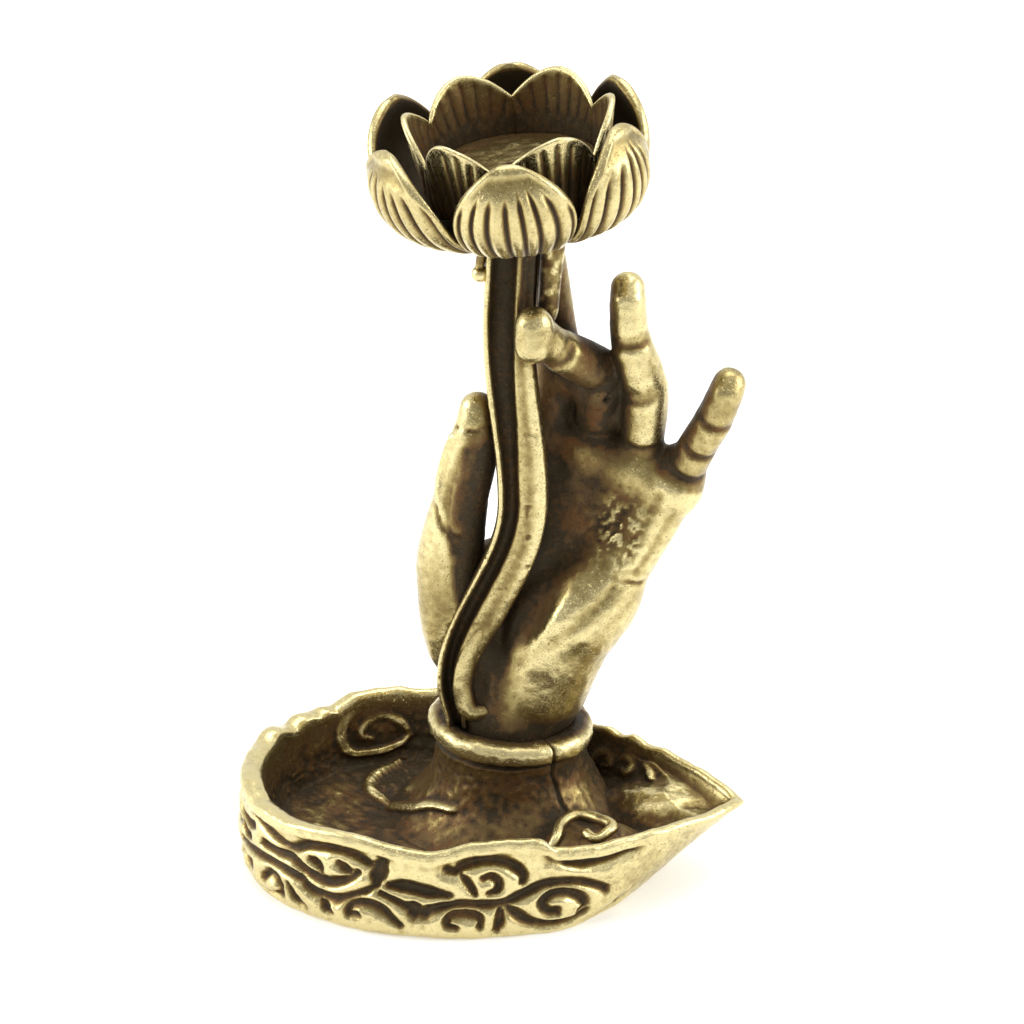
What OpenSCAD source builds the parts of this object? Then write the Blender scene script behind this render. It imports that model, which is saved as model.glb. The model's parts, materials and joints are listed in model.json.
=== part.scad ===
// Backflow incense burner in cast brass. A hand rises out of a leaf-shaped dish
// and holds a lotus. Smoke sinks through the hole in the lotus cup, runs down
// the open channel of the stem and pools in the dish.
// Millimetres, +Z up, +X towards the point of the leaf, origin on the table.

/* [Dish] */
// Length of the dish along the leaf, round end to point
dish_len = 48; // [42:0.5:54]
// Width of the dish across the rim
dish_wid = 33; // [30:0.5:38]
// Height of the rim above the table
dish_h = 9; // [7:0.25:11]
// Thickness of the wall at the rim
dish_wall = 1.6; // [1.2:0.1:2.2]
// Thickness of the dish floor
dish_floor = 2.2; // [1.6:0.1:3]
// How far the foot stays inside the rim at the sides and the round end
foot_inset = 0.8; // [0.4:0.1:2]
// How far the wall swells out between foot and rim
wall_belly = 0.9; // [0.4:0.1:1.4]
// How far the point reaches out past the foot
prow_reach = 9; // [7:0.5:11]
// How far the point is set towards the back
prow_skew = 1; // [0:0.1:2]
// How far the point lies below the rim
prow_dip = 2; // [0:0.25:3]
// Height of the waves along the rim
rim_wave = 0.4; // [0:0.1:0.8]
// Width of the scroll furrows round the wall
furrow_w = 1.1; // [0.7:0.1:1.4]
// Depth of the scroll furrows round the wall
furrow_d = 0.55; // [0.3:0.05:0.7]

/* [Wrist mount] */
// Place of the wrist along the leaf, from the middle of the dish
wrist_x = 1; // [-3:0.25:4]
// Distance from the wrist axis to the back rim
wrist_back = 10.5; // [9.5:0.25:12]
// Height of the seat under the collar, above the table
seat_h = 10; // [8:0.25:13]
// Radius of the neck that carries the collar
neck_r = 7.2; // [6.8:0.1:8]
// How much the neck widens on its way down to the floor
neck_flare = 4; // [1:0.25:5]
// Outer radius of the collar
collar_r = 8; // [7.6:0.1:9]
// Height of the collar
collar_h = 2.6; // [2:0.1:3.4]
// Radius of the tenon under the wrist
tenon_r = 3.2; // [2.4:0.1:4]
// Length of the tenon under the wrist
tenon_len = 4.5; // [3:0.25:6]

/* [Hand] */
// Radius of the wrist inside the collar
wrist_r = 5.4; // [4.8:0.1:5.8]
// Height of the wrist's narrowest place above the collar seat
wrist_h = 4.8; // [4:0.2:6]
// Length of the palm, wrist to knuckles
palm_len = 28; // [25:0.5:31]
// Thickness of the palm behind its hollow
palm_t = 5.6; // [4.6:0.2:6.6]
// Sideways lean of the palm in degrees
palm_lean = 18; // [12:1:24]
// Spacing of the knuckles across the palm
knuckle_pitch = 4.4; // [3.8:0.1:5]
// Radius of the cushion below the little finger
heel_r = 4.6; // [4:0.1:5.2]
// Radius of the cushion at the root of the thumb
thumb_root_r = 3.5; // [3:0.1:4]
// Radius of a finger at its knuckle
finger_r = 2.2; // [1.9:0.05:2.5]
// Radius of a finger at its tip
fingertip_r = 1.75; // [1.5:0.05:1.9]
// Radius of the thumb at its tip
thumb_tip_r = 1.5; // [1.2:0.05:1.7]

/* [Stem] */
// Height of the bloom's base above the collar seat
stem_h = 54.2; // [50:0.1:58]
// Width of the smoke groove
groove_w = 1.9; // [1.5:0.1:2.4]
// Depth of the smoke groove
groove_d = 1.6; // [1.2:0.1:2.2]
// Width of the left lip of the channel
lip_left = 0.9; // [0.7:0.1:1.4]
// Width of the right lip of the channel
lip_right = 1.9; // [1.2:0.1:2.2]
// Thickness of metal behind the groove
channel_back = 1; // [0.7:0.1:1.6]
// Radius of the stalk beside the channel
stalk_r = 0.95; // [0.7:0.05:1.2]
// Length of the stalk below the bloom
stalk_len = 9; // [7:0.5:11]
// Radius of the bud that hangs beside the stem
bud_r = 0.8; // [0.6:0.05:1]
// How far the bud hangs below the bloom
bud_drop = 4.4; // [3:0.2:5]

/* [Bloom] */
// Lean of the bloom towards the front, in degrees
bloom_pitch = 5; // [0:1:8]
// Lean of the bloom to the left, in degrees
bloom_roll = 6; // [0:1:8]
// Turn of the petals about the bloom's axis, in degrees
bloom_turn = 6; // [0:1:30]
// Radius of the cup's flat underside
cup_base_r = 5.2; // [4.8:0.1:5.8]
// Radius of the seat for the cone
cup_r = 7.8; // [7.2:0.1:8.4]
// Height of the seat above the cup's underside
cup_h = 5.4; // [4.8:0.1:6.4]
// Radius of the smoke hole
smoke_r = 1.25; // [1:0.05:1.5]
// Height of the inner petals' tips above the cup's underside
inner_h = 11.4; // [10.4:0.1:12.6]
// Depth of the notches between the inner petals
notch_d = 2.6; // [1.8:0.1:3.2]
// Thickness of the inner petals
inner_t = 0.8; // [0.6:0.05:1]
// Radius of the outer petals at their belly
belly_r = 13.3; // [12.6:0.1:14]
// Radius of the circle through the outer petals' tips
tip_r = 11.7; // [11:0.1:12.6]
// Height of the outer petals' tips above the cup's underside
outer_h = 11; // [10:0.1:12.4]
// Thickness of the outer petals
outer_t = 1.1; // [0.8:0.05:1.3]
// Depth of the flutes on the outer petals
flute_d = 0.4; // [0.2:0.05:0.5]

/* [Fit] */
// Gap that the braze fills at each joint
braze_gap = 0.1; // [0.05:0.01:0.15]

/* [Hidden] */
PETALS = 6;

// Points round the dish outline, and steps up each side of its wall
DISH_SIDES = 72;
WALL_STEPS = 7;
// Exponents that sharpen the leaf's front and back edge
LEAF_FRONT = 0.45;
LEAF_BACK = 0.8;
// Power with which the point swings aside along the leaf
SKEW_POWER = 4;
// Waves round the rim
RIM_WAVES = 9;
// Sharpness of the change from round wall to straight prow
PROW_SPAN = 10;
// How fast the round wall goes out and up from the foot, and how low its belly lies
WALL_OUT = 0.5;
WALL_UP = 1.5;
BELLY_LOW = 0.7;
// How much thicker the wall is at the point than at the sides
PROW_WALL = 1.5;
// Steps along a scroll furrow, and facets round it
FURROW_STEPS = 8;
FURROW_SIDES = 6;
// Power of the hollow curve in which the neck widens
NECK_CURVE = 3;
// Facets of the spheres that the hand is built from, and of turned pieces
HAND_FN = 20;
TURNED_FN = 96;
// Points round the turned profiles
PROFILE_STEPS = 8;
// Steps along the stem
STEM_STEPS = 40;
STALK_STEPS = 10;
STALK_SIDES = 16;
// Steps along and across a petal
PETAL_LONG = 10;
PETAL_WIDE = 8;
// Flutes across an outer petal
FLUTES = 8;

PETAL_PITCH = 360 / PETALS;
brass = [0.72, 0.58, 0.28];
dark_brass = [0.42, 0.31, 0.15];
pale_brass = [0.80, 0.68, 0.38];

// The wrist axis where it meets the collar's seat
wrist_y = dish_wid / 2 - wrist_back;
wrist_seat = [wrist_x, wrist_y, seat_h];

// Blends
function lerp(a, b, t) = a + (b - a) * t;
function ease(t) = (1 - cos(180 * t)) / 2;
function unit(v) = v / norm(v);
function bezier(p, t) =
    pow(1 - t, 3) * p[0] + 3 * t * pow(1 - t, 2) * p[1]
    + 3 * t * t * (1 - t) * p[2] + pow(t, 3) * p[3];

// A solid through closed loops of points that have the same length, capped flat at both ends.
// Each loop runs anticlockwise when seen from the side of the next loop.
module loft(loops) {
    n = len(loops[0]);
    last = (len(loops) - 1) * n;
    sides = [
        for (i = [0:len(loops) - 2], j = [0:n - 1])
            let (a = i * n + j, b = i * n + (j + 1) % n)
            each [[a, a + n, b], [b, a + n, b + n]]
    ];
    caps = [[for (j = [0:n - 1]) j], [for (j = [n - 1:-1:0]) last + j]];
    polyhedron([for (loop = loops) each loop], concat(sides, caps));
}

// A closed shell between two grids of points, rows of equal length, outer face first.
// Rows run from the root to the tip, and each row from the right edge to the left.
module shell(outer, inner) {
    rows = len(outer);
    cols = len(outer[0]);
    size = rows * cols;
    faces = [
        for (i = [0:rows - 2], j = [0:cols - 2])
            let (a = i * cols + j, b = a + cols)
            each [
                [a, b, a + 1], [a + 1, b, b + 1],
                [size + a, size + a + 1, size + b], [size + a + 1, size + b + 1, size + b]
            ]
    ];
    ends = [
        for (j = [0:cols - 2])
            let (tip = (rows - 1) * cols + j)
            each [
                [j, j + 1, size + j], [j + 1, size + j + 1, size + j],
                [tip, size + tip, tip + 1], [tip + 1, size + tip, size + tip + 1]
            ]
    ];
    edges = [
        for (i = [0:rows - 2])
            let (a = i * cols, b = a + cols, c = a + cols - 1, d = b + cols - 1)
            each [
                [a, size + a, b], [b, size + a, size + b],
                [c, d, size + c], [d, size + d, size + c]
            ]
    ];
    points = concat([for (row = outer) each row], [for (row = inner) each row]);
    polyhedron(points, concat(faces, ends, edges));
}

// Dish

// How much of the prow there is in the direction t: 1 at the point, 0 round the rest
function prow(t) = pow(abs(cos(t / 2)), PROW_SPAN);
// One edge of a leaf, and how far out it comes at its widest
function leaf_edge(t, sharp) = sin(t) * pow(abs(sin(t / 2)), sharp);
function leaf_peak(sharp) = max([for (t = [0:180]) leaf_edge(t, sharp)]);
// The leaf outline, set in by a distance along and across
function leaf(t, along, across) =
    let (
        half = dish_len / 2,
        x = (half - along) * cos(t),
        sharp = t < 180 ? LEAF_BACK : LEAF_FRONT,
        y = (dish_wid / 2 - across) * leaf_edge(t, sharp) / leaf_peak(sharp)
    )
    [x, y + prow_skew * pow((x + half) / dish_len, SKEW_POWER)];
function rim_z(t) = dish_h - prow_dip * prow(t) + rim_wave * cos(RIM_WAVES * t) * (1 - prow(t));
// Along the leaf, the foot draws in from this place towards its own end
foot_shoulder = dish_len / 6;
function drawn_in(p, end) =
    p.x < foot_shoulder ? p
        : [lerp(foot_shoulder, end, (p.x - foot_shoulder) / (dish_len / 2 - foot_shoulder)), p.y];
foot_end = dish_len / 2 - prow_reach;
function rim_outer(t) = leaf(t, 0, 0);
function rim_inner(t) = leaf(t, dish_wall * PROW_WALL, dish_wall);
function foot_outer(t) = drawn_in(leaf(t, foot_inset, foot_inset), foot_end);
// The floor's edge stays clear of the wall by the rounding between them
floor_round = 1;
floor_inset = foot_inset + dish_wall + floor_round;
function floor_inner(t) = drawn_in(leaf(t, floor_inset, floor_inset), foot_end - dish_wall);
// A point of the wall, w from 0 at the bottom to 1 at the rim
function wall_point(low, high, z0, z1, w, t, belly) =
    let (
        out = pow(w, lerp(WALL_OUT, 1, prow(t))),
        up = pow(w, lerp(WALL_UP, 1, prow(t))),
        swell = belly * (1 - prow(t)) * sin(180 * pow(w, BELLY_LOW)),
        p = lerp(low, high, out) + swell * [cos(t), sin(t)]
    )
    [p.x, p.y, lerp(z0, z1, up)];
function wall_outside(t, w) = wall_point(foot_outer(t), rim_outer(t), 0, rim_z(t), w, t, wall_belly);
dish_angles = [for (j = [0:DISH_SIDES - 1]) j * 360 / DISH_SIDES];
dish_outside = [
    for (i = [0:WALL_STEPS]) [for (t = dish_angles) wall_outside(t, i / WALL_STEPS)]
];
dish_inside = [
    for (i = [WALL_STEPS:-1:0]) [
        for (t = dish_angles)
            wall_point(floor_inner(t), rim_inner(t), dish_floor, rim_z(t), i / WALL_STEPS, t, 0)
    ]
];
// The room inside the middle of the dish's wall, carried straight up past the collar's seat
wall_middle = [
    for (i = [0:WALL_STEPS]) [
        for (j = [0:DISH_SIDES - 1]) lerp(dish_outside[i][j], dish_inside[WALL_STEPS - i][j], 0.5)
    ]
];
dish_room = concat(wall_middle, [[for (p = wall_middle[WALL_STEPS]) [p.x, p.y, seat_h + dish_h]]]);

// The neck widens downwards in a hollow curve, from the collar's seat into the dish floor
neck_sunk = dish_floor * 0.7;
neck_profile = concat(
    [[0, neck_sunk], [neck_r + neck_flare, neck_sunk]],
    [for (i = [0:PROFILE_STEPS])
        let (t = i / PROFILE_STEPS)
        [neck_r + neck_flare * pow(1 - t, NECK_CURVE), lerp(dish_floor, seat_h, t)]],
    [[0, seat_h]]);

// Furrows part the cloud scrolls of the wall, the same on both sides. Each has the directions of
// its two ends on the front, the heights of its ends as shares of the rim's height there, and the
// share by which its middle bows up
furrows = [
    // Long scroll by the round end: its top, its underside, its tail and the line inside it
    [222, 250, 0.74, 0.72, 0.17],
    [249, 226, 0.56, 0.46, -0.15],
    [226, 194, 0.46, 0.37, 0.05],
    [211, 244, 0.62, 0.68, -0.13],
    // Wave along the middle, with the slit above it and the crescent over that
    [250, 278, 0.50, 0.41, -0.10],
    [252, 265, 0.59, 0.54, 0.02],
    [265, 282, 0.82, 0.68, 0.14],
    // Round scroll by the point: its top and its underside
    [278, 303, 0.41, 0.40, 0.18],
    [278, 298, 0.40, 0.23, -0.16],
    // Small scrolls along the foot, and the slit under the rim
    [241, 254, 0.24, 0.20, 0.13],
    [265, 272, 0.23, 0.23, 0.09],
    [288, 308, 0.86, 0.85, -0.08]
];
// The wall at a share of the rim's height, and the way straight out of it
function wall_at(t, share) = wall_outside(t, pow(share, 1 / lerp(WALL_UP, 1, prow(t))));
function wall_out(t, share) =
    unit(cross(wall_at(t + 1, share) - wall_at(t - 1, share),
               wall_at(t, share + 0.01) - wall_at(t, share - 0.01)));
// A furrow's direction and share at the place a along it, from 0 to 1
function furrow_turn(f, a) = lerp(f[0], f[1], a);
function furrow_share(f, a) = lerp(f[2], f[3], a) + f[4] * sin(180 * a);
furrow_end = 0.3;
module furrow(f, side) {
    turns = [for (i = [0:FURROW_STEPS]) side * furrow_turn(f, i / FURROW_STEPS)];
    shares = [for (i = [0:FURROW_STEPS]) furrow_share(f, i / FURROW_STEPS)];
    middle = [for (i = [0:FURROW_STEPS]) wall_at(turns[i], shares[i])];
    loft([
        for (i = [0:FURROW_STEPS])
            let (
                along = middle[min(i + 1, FURROW_STEPS)] - middle[max(i - 1, 0)],
                out = wall_out(turns[i], shares[i]),
                up = unit(cross(along, out)),
                size = lerp(furrow_end, 1, sqrt(sin(180 * i / FURROW_STEPS)))
            )
            [for (j = [0:FURROW_SIDES - 1])
                let (a = j * 360 / FURROW_SIDES)
                middle[i] + size * (furrow_d * cos(a) * out + furrow_w / 2 * sin(a) * up)]
    ]);
}

module dish() {
    color(brass)
    difference() {
        union() {
            loft(concat(dish_outside, dish_inside));
            intersection() {
                translate([wrist_x, wrist_y, 0])
                    rotate_extrude($fn = TURNED_FN) polygon(neck_profile);
                loft(dish_room);
            }
        }
        for (f = furrows, side = [-1, 1]) furrow(f, side);
        translate([wrist_x, wrist_y, seat_h - tenon_len - braze_gap])
            cylinder(r = tenon_r + braze_gap, h = tenon_len + seat_h, $fn = TURNED_FN);
    }
}

// Wrist collar: a rounded ring with a bore for the wrist and a flat underside
collar_bore_r = wrist_r + braze_gap;
module wrist_collar() {
    ring_w = collar_r - collar_bore_r;
    profile = concat(
        [[collar_bore_r, 0], [collar_r - ring_w / 4, 0]],
        [for (i = [0:PROFILE_STEPS])
            let (a = lerp(-60, 180, i / PROFILE_STEPS))
            [collar_bore_r + ring_w / 2 * (1 + cos(a)), collar_h / 2 * (1 + sin(a))]]);
    color(pale_brass)
    translate(wrist_seat + [0, 0, braze_gap])
        rotate_extrude($fn = TURNED_FN) polygon(profile);
}

// Bloom frame, placed from the wrist axis
bloom_place = [1.4, -3.1];
bloom_base = wrist_seat + [bloom_place.x, bloom_place.y, stem_h];
bloom_axis = [
    -sin(bloom_roll) * cos(bloom_pitch), -sin(bloom_pitch), cos(bloom_roll) * cos(bloom_pitch)
];
module in_bloom() {
    translate(bloom_base)
        rotate([0, -bloom_roll, 0])
        rotate([bloom_pitch, 0, 0])
        children();
}
// The point under the cup, one joint gap below its underside, straight above or below p
function under_cup(p) =
    let (away = [p.x - bloom_base.x, p.y - bloom_base.y])
    [p.x, p.y, bloom_base.z - (away.x * bloom_axis.x + away.y * bloom_axis.y + braze_gap) / bloom_axis.z];

// Stem

// Where the top of the groove lies under the cup, from the middle of the cup's underside
groove_top = [-1.3, -1.4];
// Turning places of the stem's bends, from the wrist axis at the collar's seat, bottom to top
stem_bends = [
    wrist_seat + [-3.9, -4.4, collar_h + 2 * braze_gap],
    wrist_seat + [-4.8, -4.4, 7.5],
    wrist_seat + [1.2, -5.4, 27],
    wrist_seat + [-0.2, -4.9, 43.5],
    bloom_base + [groove_top.x, groove_top.y, 0]
];
// The bend just below height z, and the stem's middle line there
function bend_below(z, i = 0) =
    i + 2 < len(stem_bends) && z > stem_bends[i + 1].z ? bend_below(z, i + 1) : i;
function stem_point(z) =
    let (
        i = bend_below(z),
        a = stem_bends[i],
        b = stem_bends[i + 1],
        t = ease((z - a.z) / (b.z - a.z))
    )
    [lerp(a.x, b.x, t), lerp(a.y, b.y, t), z];
stem_low = stem_bends[0].z;
stem_top = bloom_base.z;
function stem_along(z) =
    let (d = 0.1) unit(stem_point(min(z + d, stem_top)) - stem_point(max(z - d, stem_low)));
// A point of the channel's section: across to the right, and back from the groove's mouth
function stem_section(z, p) =
    let (
        along = stem_along(z),
        right = unit(cross([0, 1, 0], along)),
        back = cross(along, right)
    )
    stem_point(z) + p.x * right + p.y * back;

// The channel's section, with the mouth of the groove at y = 0
half_groove = groove_w / 2;
channel_left = -half_groove - lip_left;
channel_right = half_groove + lip_right;
channel_deep = groove_d + channel_back;
lip_high = groove_d / 2;
function arc(centre, rx, ry, from, to, steps) =
    [for (i = [0:steps]) let (a = lerp(from, to, i / steps)) centre + [rx * cos(a), ry * sin(a)]];
channel_section = concat(
    [[channel_right - lip_right / 3, channel_deep], [channel_left + lip_left / 3, channel_deep]],
    arc([channel_left + lip_left / 2, lip_high], lip_left / 2, lip_high, 180, 360, 4),
    arc([0, groove_d - half_groove], half_groove, half_groove, 180, 0, 5),
    arc([channel_right - lip_right / 2, lip_high], lip_right / 2, lip_high, 180, 360, 5));
// The outline with the groove filled and its front open, to cut the channel's bed in its neighbours
bed_front = -2;
channel_bed = [
    [channel_right - lip_right / 3 + braze_gap, channel_deep + braze_gap],
    [channel_left + lip_left / 3 - braze_gap, channel_deep + braze_gap],
    [channel_left - braze_gap, lip_high],
    [channel_left - braze_gap, bed_front],
    [channel_right + braze_gap, bed_front],
    [channel_right + braze_gap, lip_high]
];
stem_heights = [for (i = [0:STEM_STEPS]) lerp(stem_low, stem_top, i / STEM_STEPS)];
function swept(section) = [
    for (i = [0:STEM_STEPS])
        let (loop = [for (p = section) stem_section(stem_heights[i], p)])
        i < STEM_STEPS ? loop : [for (p = loop) under_cup(p)]
];

module smoke_channel() {
    color(pale_brass) loft(swept(channel_section));
}

// The stalk runs up beside the channel, from behind the middle fingertip to the cup
stalk_low = stem_top - stalk_len;
stalk_swell = 0.3;
function stalk_loops(gap) = [
    for (i = [0:STALK_STEPS])
        let (
            t = i / STALK_STEPS,
            z = lerp(stalk_low, stem_top, t),
            r = stalk_r + stalk_swell * t * t,
            middle = [channel_right + braze_gap + r, channel_deep],
            loop = [for (j = [0:STALK_SIDES - 1])
                let (a = j * 360 / STALK_SIDES) stem_section(z, middle + (r + gap) * [cos(a), sin(a)])]
        )
        i < STALK_STEPS ? loop : [for (p = loop) under_cup(p)]
];
module stalk() {
    color(dark_brass) loft(stalk_loops(0));
}

// A bud hangs from the cup's underside on a thin neck, at the left of the stem
bud_neck_r = 0.45;
bud_place = stem_section(stem_top - bud_drop, [channel_left - braze_gap - bud_r, lip_high]);
module stem_bud() {
    color(pale_brass)
    difference() {
        translate(bud_place) {
            cylinder(r = bud_neck_r, h = bud_drop, $fn = TURNED_FN / 4);
            sphere(r = bud_r, $fn = TURNED_FN / 3);
        }
        in_bloom() translate([-cup_base_r, -cup_base_r, -braze_gap]) cube([2, 2, 1] * cup_base_r);
    }
}

// Hand

// A step along a digit: its length, its lean to the right and its curl towards the front
function bone(b) = b[0] * [sin(b[1]) * cos(b[2]), -sin(b[2]), cos(b[1]) * cos(b[2])];
function joints(start, bones, i = 0) =
    i == len(bones) ? [start] : concat([start], joints(start + bone(bones[i]), bones, i + 1));
// The palm's own directions: along it and across it to the right
palm_up = [sin(palm_lean), 0, cos(palm_lean)];
palm_right = [cos(palm_lean), 0, -sin(palm_lean)];
wrist_shift = [1.2, 0.5];
wrist = wrist_seat + [wrist_shift.x, wrist_shift.y, wrist_h];
function in_palm(across, depth, up) = wrist + across * palm_right + [0, depth, 0] + up * palm_up;

// Bones of each digit: length, lean, curl
index_bones = [[6.6, 5, 2]];
middle_bones = [[5.9, -6, 15], [5.8, -36, 44], [5, -22, 24]];
ring_bones = [[5.8, -2, 15], [5.3, -9, 6], [4.9, -1, -6]];
little_bones = [[3.7, 22, 8], [3.1, 28, 10], [3.2, 21, 0]];
thumb_bones = [[8.2, -9, 6], [8.7, 14, 7.5], [8.8, 6, 2.5]];

// How far back each knuckle lies, index to little finger
knuckle_depth = [1.8, 1.4, 0.5, -0.9];
function knuckle(n) = in_palm((n - 1.5) * knuckle_pitch, knuckle_depth[n], palm_len);
// The index finger ends behind the stalk, just under the cup
index_place = [1.6, 3];
index_below = 0.4;
index_end = bloom_base + [index_place.x, index_place.y, -fingertip_r - index_below];
index_joints = concat(joints(knuckle(0), index_bones), [index_end]);
middle_joints = joints(knuckle(1), middle_bones);
ring_joints = joints(knuckle(2), ring_bones);
little_joints = joints(knuckle(3), little_bones);
thumb_root = in_palm(-7.1, -1, 3.6);
thumb_joints = joints(thumb_root, thumb_bones);

module ball(p, r) {
    translate(p) sphere(r = r, $fn = HAND_FN);
}
module digit(points, radii) {
    for (i = [0:len(points) - 2])
        hull() {
            ball(points[i], radii[i]);
            ball(points[i + 1], radii[i + 1]);
        }
}
function finger_radii(n, size) =
    [for (i = [0:n - 1]) size * lerp(finger_r, fingertip_r, i / (n - 1))];
little_size = 0.94;
thumb_radii = [thumb_root_r, thumb_root_r - 0.5, thumb_tip_r + 0.7, thumb_tip_r];

// Balls that the cushions of the hand are drawn round: place and radius
half_palm = palm_t / 2;
wrist_balls = [
    [wrist + [2.2, 0, 0], half_palm + 1.2],
    [wrist + [-1.6, 0, 0], half_palm + 1.4]
];
plate_balls = concat(
    [[wrist + [1, 0.8, 2], half_palm + 0.8]],
    [for (n = [0:3]) [knuckle(n) - 2 * palm_up, half_palm - 0.3]]);
heel_balls = [
    [wrist + [2.6, -0.3, 1], half_palm + 1],
    [in_palm(1.8, -1.2, 10.5), heel_r],
    [knuckle(3) - 6 * palm_up - 0.8 * palm_right, half_palm - 0.9]
];
thumb_balls = [
    [wrist + [-1.2, -0.4, 1], half_palm + 1],
    [thumb_root, thumb_radii[0]],
    [thumb_joints[1], thumb_radii[1]]
];
web_balls = [
    [thumb_root + [1, 1.5, 0], thumb_root_r - 0.8],
    [thumb_joints[1] + [2, 2, -1], half_palm - 0.6],
    [in_palm(-3.5, 1, 14), half_palm]
];
module cushion(balls) {
    hull() {
        for (b = balls) ball(b[0], b[1]);
        children();
    }
}

module palm() {
    cushion(wrist_balls)
        translate(wrist_seat + [0, 0, braze_gap])
        cylinder(r = wrist_r, h = collar_h, $fn = 2 * HAND_FN);
    cushion(plate_balls);
    cushion(heel_balls);
    cushion(thumb_balls);
    cushion(web_balls);
}

module hand() {
    color(brass)
    difference() {
        union() {
            translate([wrist_x, wrist_y, seat_h - tenon_len])
                cylinder(r = tenon_r, h = tenon_len + collar_h, $fn = 2 * HAND_FN);
            palm();
            digit(index_joints, finger_radii(len(index_joints), 1));
            digit(middle_joints, finger_radii(len(middle_joints), 1));
            digit(ring_joints, finger_radii(len(ring_joints), 1));
            digit(little_joints, finger_radii(len(little_joints), little_size));
            digit(thumb_joints, thumb_radii);
        }
        loft(swept(channel_bed));
        loft(stalk_loops(braze_gap));
        // Room for the collar round the wrist
        translate(wrist_seat - [0, 0, tenon_len])
            difference() {
                cylinder(r = 2 * collar_r, h = tenon_len + collar_h + 2 * braze_gap, $fn = 2 * HAND_FN);
                cylinder(r = wrist_r, h = 3 * tenon_len, $fn = 2 * HAND_FN);
            }
    }
}

// Bloom

// Radius of the cup's side at height z above its underside
function cup_side(z) = lerp(cup_base_r, cup_r, sin(90 * min(max(z / cup_h, 0), 1)));
cup_profile = concat(
    [[0, 0]],
    [for (i = [0:PROFILE_STEPS]) let (z = cup_h * i / PROFILE_STEPS) [cup_side(z), z]],
    [[0, cup_h]]);
// The smoke hole slants from the middle of the seat to the top of the groove
smoke_slant = atan2(norm(groove_top), cup_h);
smoke_heading = atan2(groove_top.y, groove_top.x);
module lotus_cup() {
    color(dark_brass)
    in_bloom() difference() {
        rotate_extrude($fn = TURNED_FN) polygon(cup_profile);
        translate([0, 0, cup_h])
            rotate([0, 0, smoke_heading])
            rotate([0, smoke_slant, 0])
            translate([0, 0, -2 * cup_h])
            cylinder(r = smoke_r, h = 3 * cup_h, $fn = TURNED_FN / 2);
    }
}

function turned(r, angle, z) = [r * cos(angle), r * sin(angle), z];
// Half the angle a petal may take, short of its neighbour by a joint gap at the cup
petal_half = PETAL_PITCH / 2 - asin(braze_gap / cup_base_r);

// Inner petals stand on the cup's side and rise past its seat in a scalloped wall
inner_root_z = cup_h * 0.55;
inner_flare = 0.12;
inner_bulge = 0.5;
inner_scallop = 0.8;
inner_edge = 0.6;
function inner_top(v) = inner_h - notch_d * (1 - pow(cos(90 * v), inner_scallop));
function inner_face(u, v, t) =
    let (
        z = lerp(inner_root_z, inner_top(v), u),
        free = max(0, z - cup_h),
        r = cup_side(z) + braze_gap + inner_flare * free + inner_bulge * (1 - v * v) * free / cup_h
    )
    turned(r + t * lerp(1, inner_edge, u), v * petal_half, z);
function grid(u_steps, v_steps) = [
    for (i = [0:u_steps]) [for (j = [0:v_steps]) [i / u_steps, 1 - 2 * j / v_steps]]
];
petal_grid = grid(PETAL_LONG, PETAL_WIDE);
module inner_petal(n) {
    color(dark_brass)
    in_bloom() rotate([0, 0, bloom_turn + (n - 1) * PETAL_PITCH])
        shell([for (row = petal_grid) [for (p = row) inner_face(p[0], p[1], inner_t)]],
              [for (row = petal_grid) [for (p = row) inner_face(p[0], p[1], 0)]]);
}

// Outer petals leave the foot of the cup, swell to the belly and close in to their tips
outer_curve = [
    [cup_base_r + braze_gap, 0],
    [belly_r - 0.4, 0.1],
    [belly_r * 4 / 3 - tip_r * 0.22, outer_h / 2],
    [tip_r, outer_h]
];
outer_tuck = 1.2;
outer_edge = 0.7;
// Half angle left at the tip, the share of the length at full width, and how round the petal then
// narrows and how pointed it ends
outer_tip_half = 2;
outer_full = 0.45;
outer_round = 2.4;
outer_point = 0.72;
function outer_half(u) =
    let (s = max(0, (u - outer_full) / (1 - outer_full)))
    lerp(outer_tip_half, petal_half, pow(max(0, 1 - pow(s, outer_round)), outer_point));
function outer_inward(u) =
    let (d = bezier(outer_curve, min(u + 0.01, 1)) - bezier(outer_curve, max(u - 0.01, 0)))
    unit([-d.y, d.x]);
// Flutes run up the outside from the root and fade out below the tip, sooner at the edges, and
// take up to half the petal's thickness
flute_root = 0.15;
flute_top = 0.82;
flute_short = 0.16;
flute_fade = 0.2;
function outer_thick(u) = outer_t * lerp(1, outer_edge, u);
function flute(u, v) =
    let (
        left = (flute_top - flute_short * v * v - u) / flute_fade,
        deep = min(flute_d, outer_thick(u) / 2)
    )
    deep * pow(sin(90 * FLUTES * (v + 1)), 2) * min(1, u / flute_root) * min(1, max(0, left));
// A point of the petal, set in from its outside by a depth
function outer_face(u, v, depth) =
    let (
        p = bezier(outer_curve, u) + depth * outer_inward(u),
        tuck = outer_tuck * pow(v * outer_half(u) / petal_half, 2) * sin(90 * min(1, 2 * u)),
        r = max(p.x - tuck, cup_side(p.y) + braze_gap)
    )
    turned(r, v * outer_half(u), p.y);
// One column of points on each crest and one in each flute
fluted_grid = grid(PETAL_LONG, 2 * FLUTES);
module outer_petal(n) {
    color(pale_brass)
    in_bloom() rotate([0, 0, bloom_turn + (n - 0.5) * PETAL_PITCH])
        shell([for (row = fluted_grid) [for (p = row) outer_face(p[0], p[1], flute(p[0], p[1]))]],
              [for (row = fluted_grid) [for (p = row) outer_face(p[0], p[1], outer_thick(p[0]))]]);
}

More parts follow.
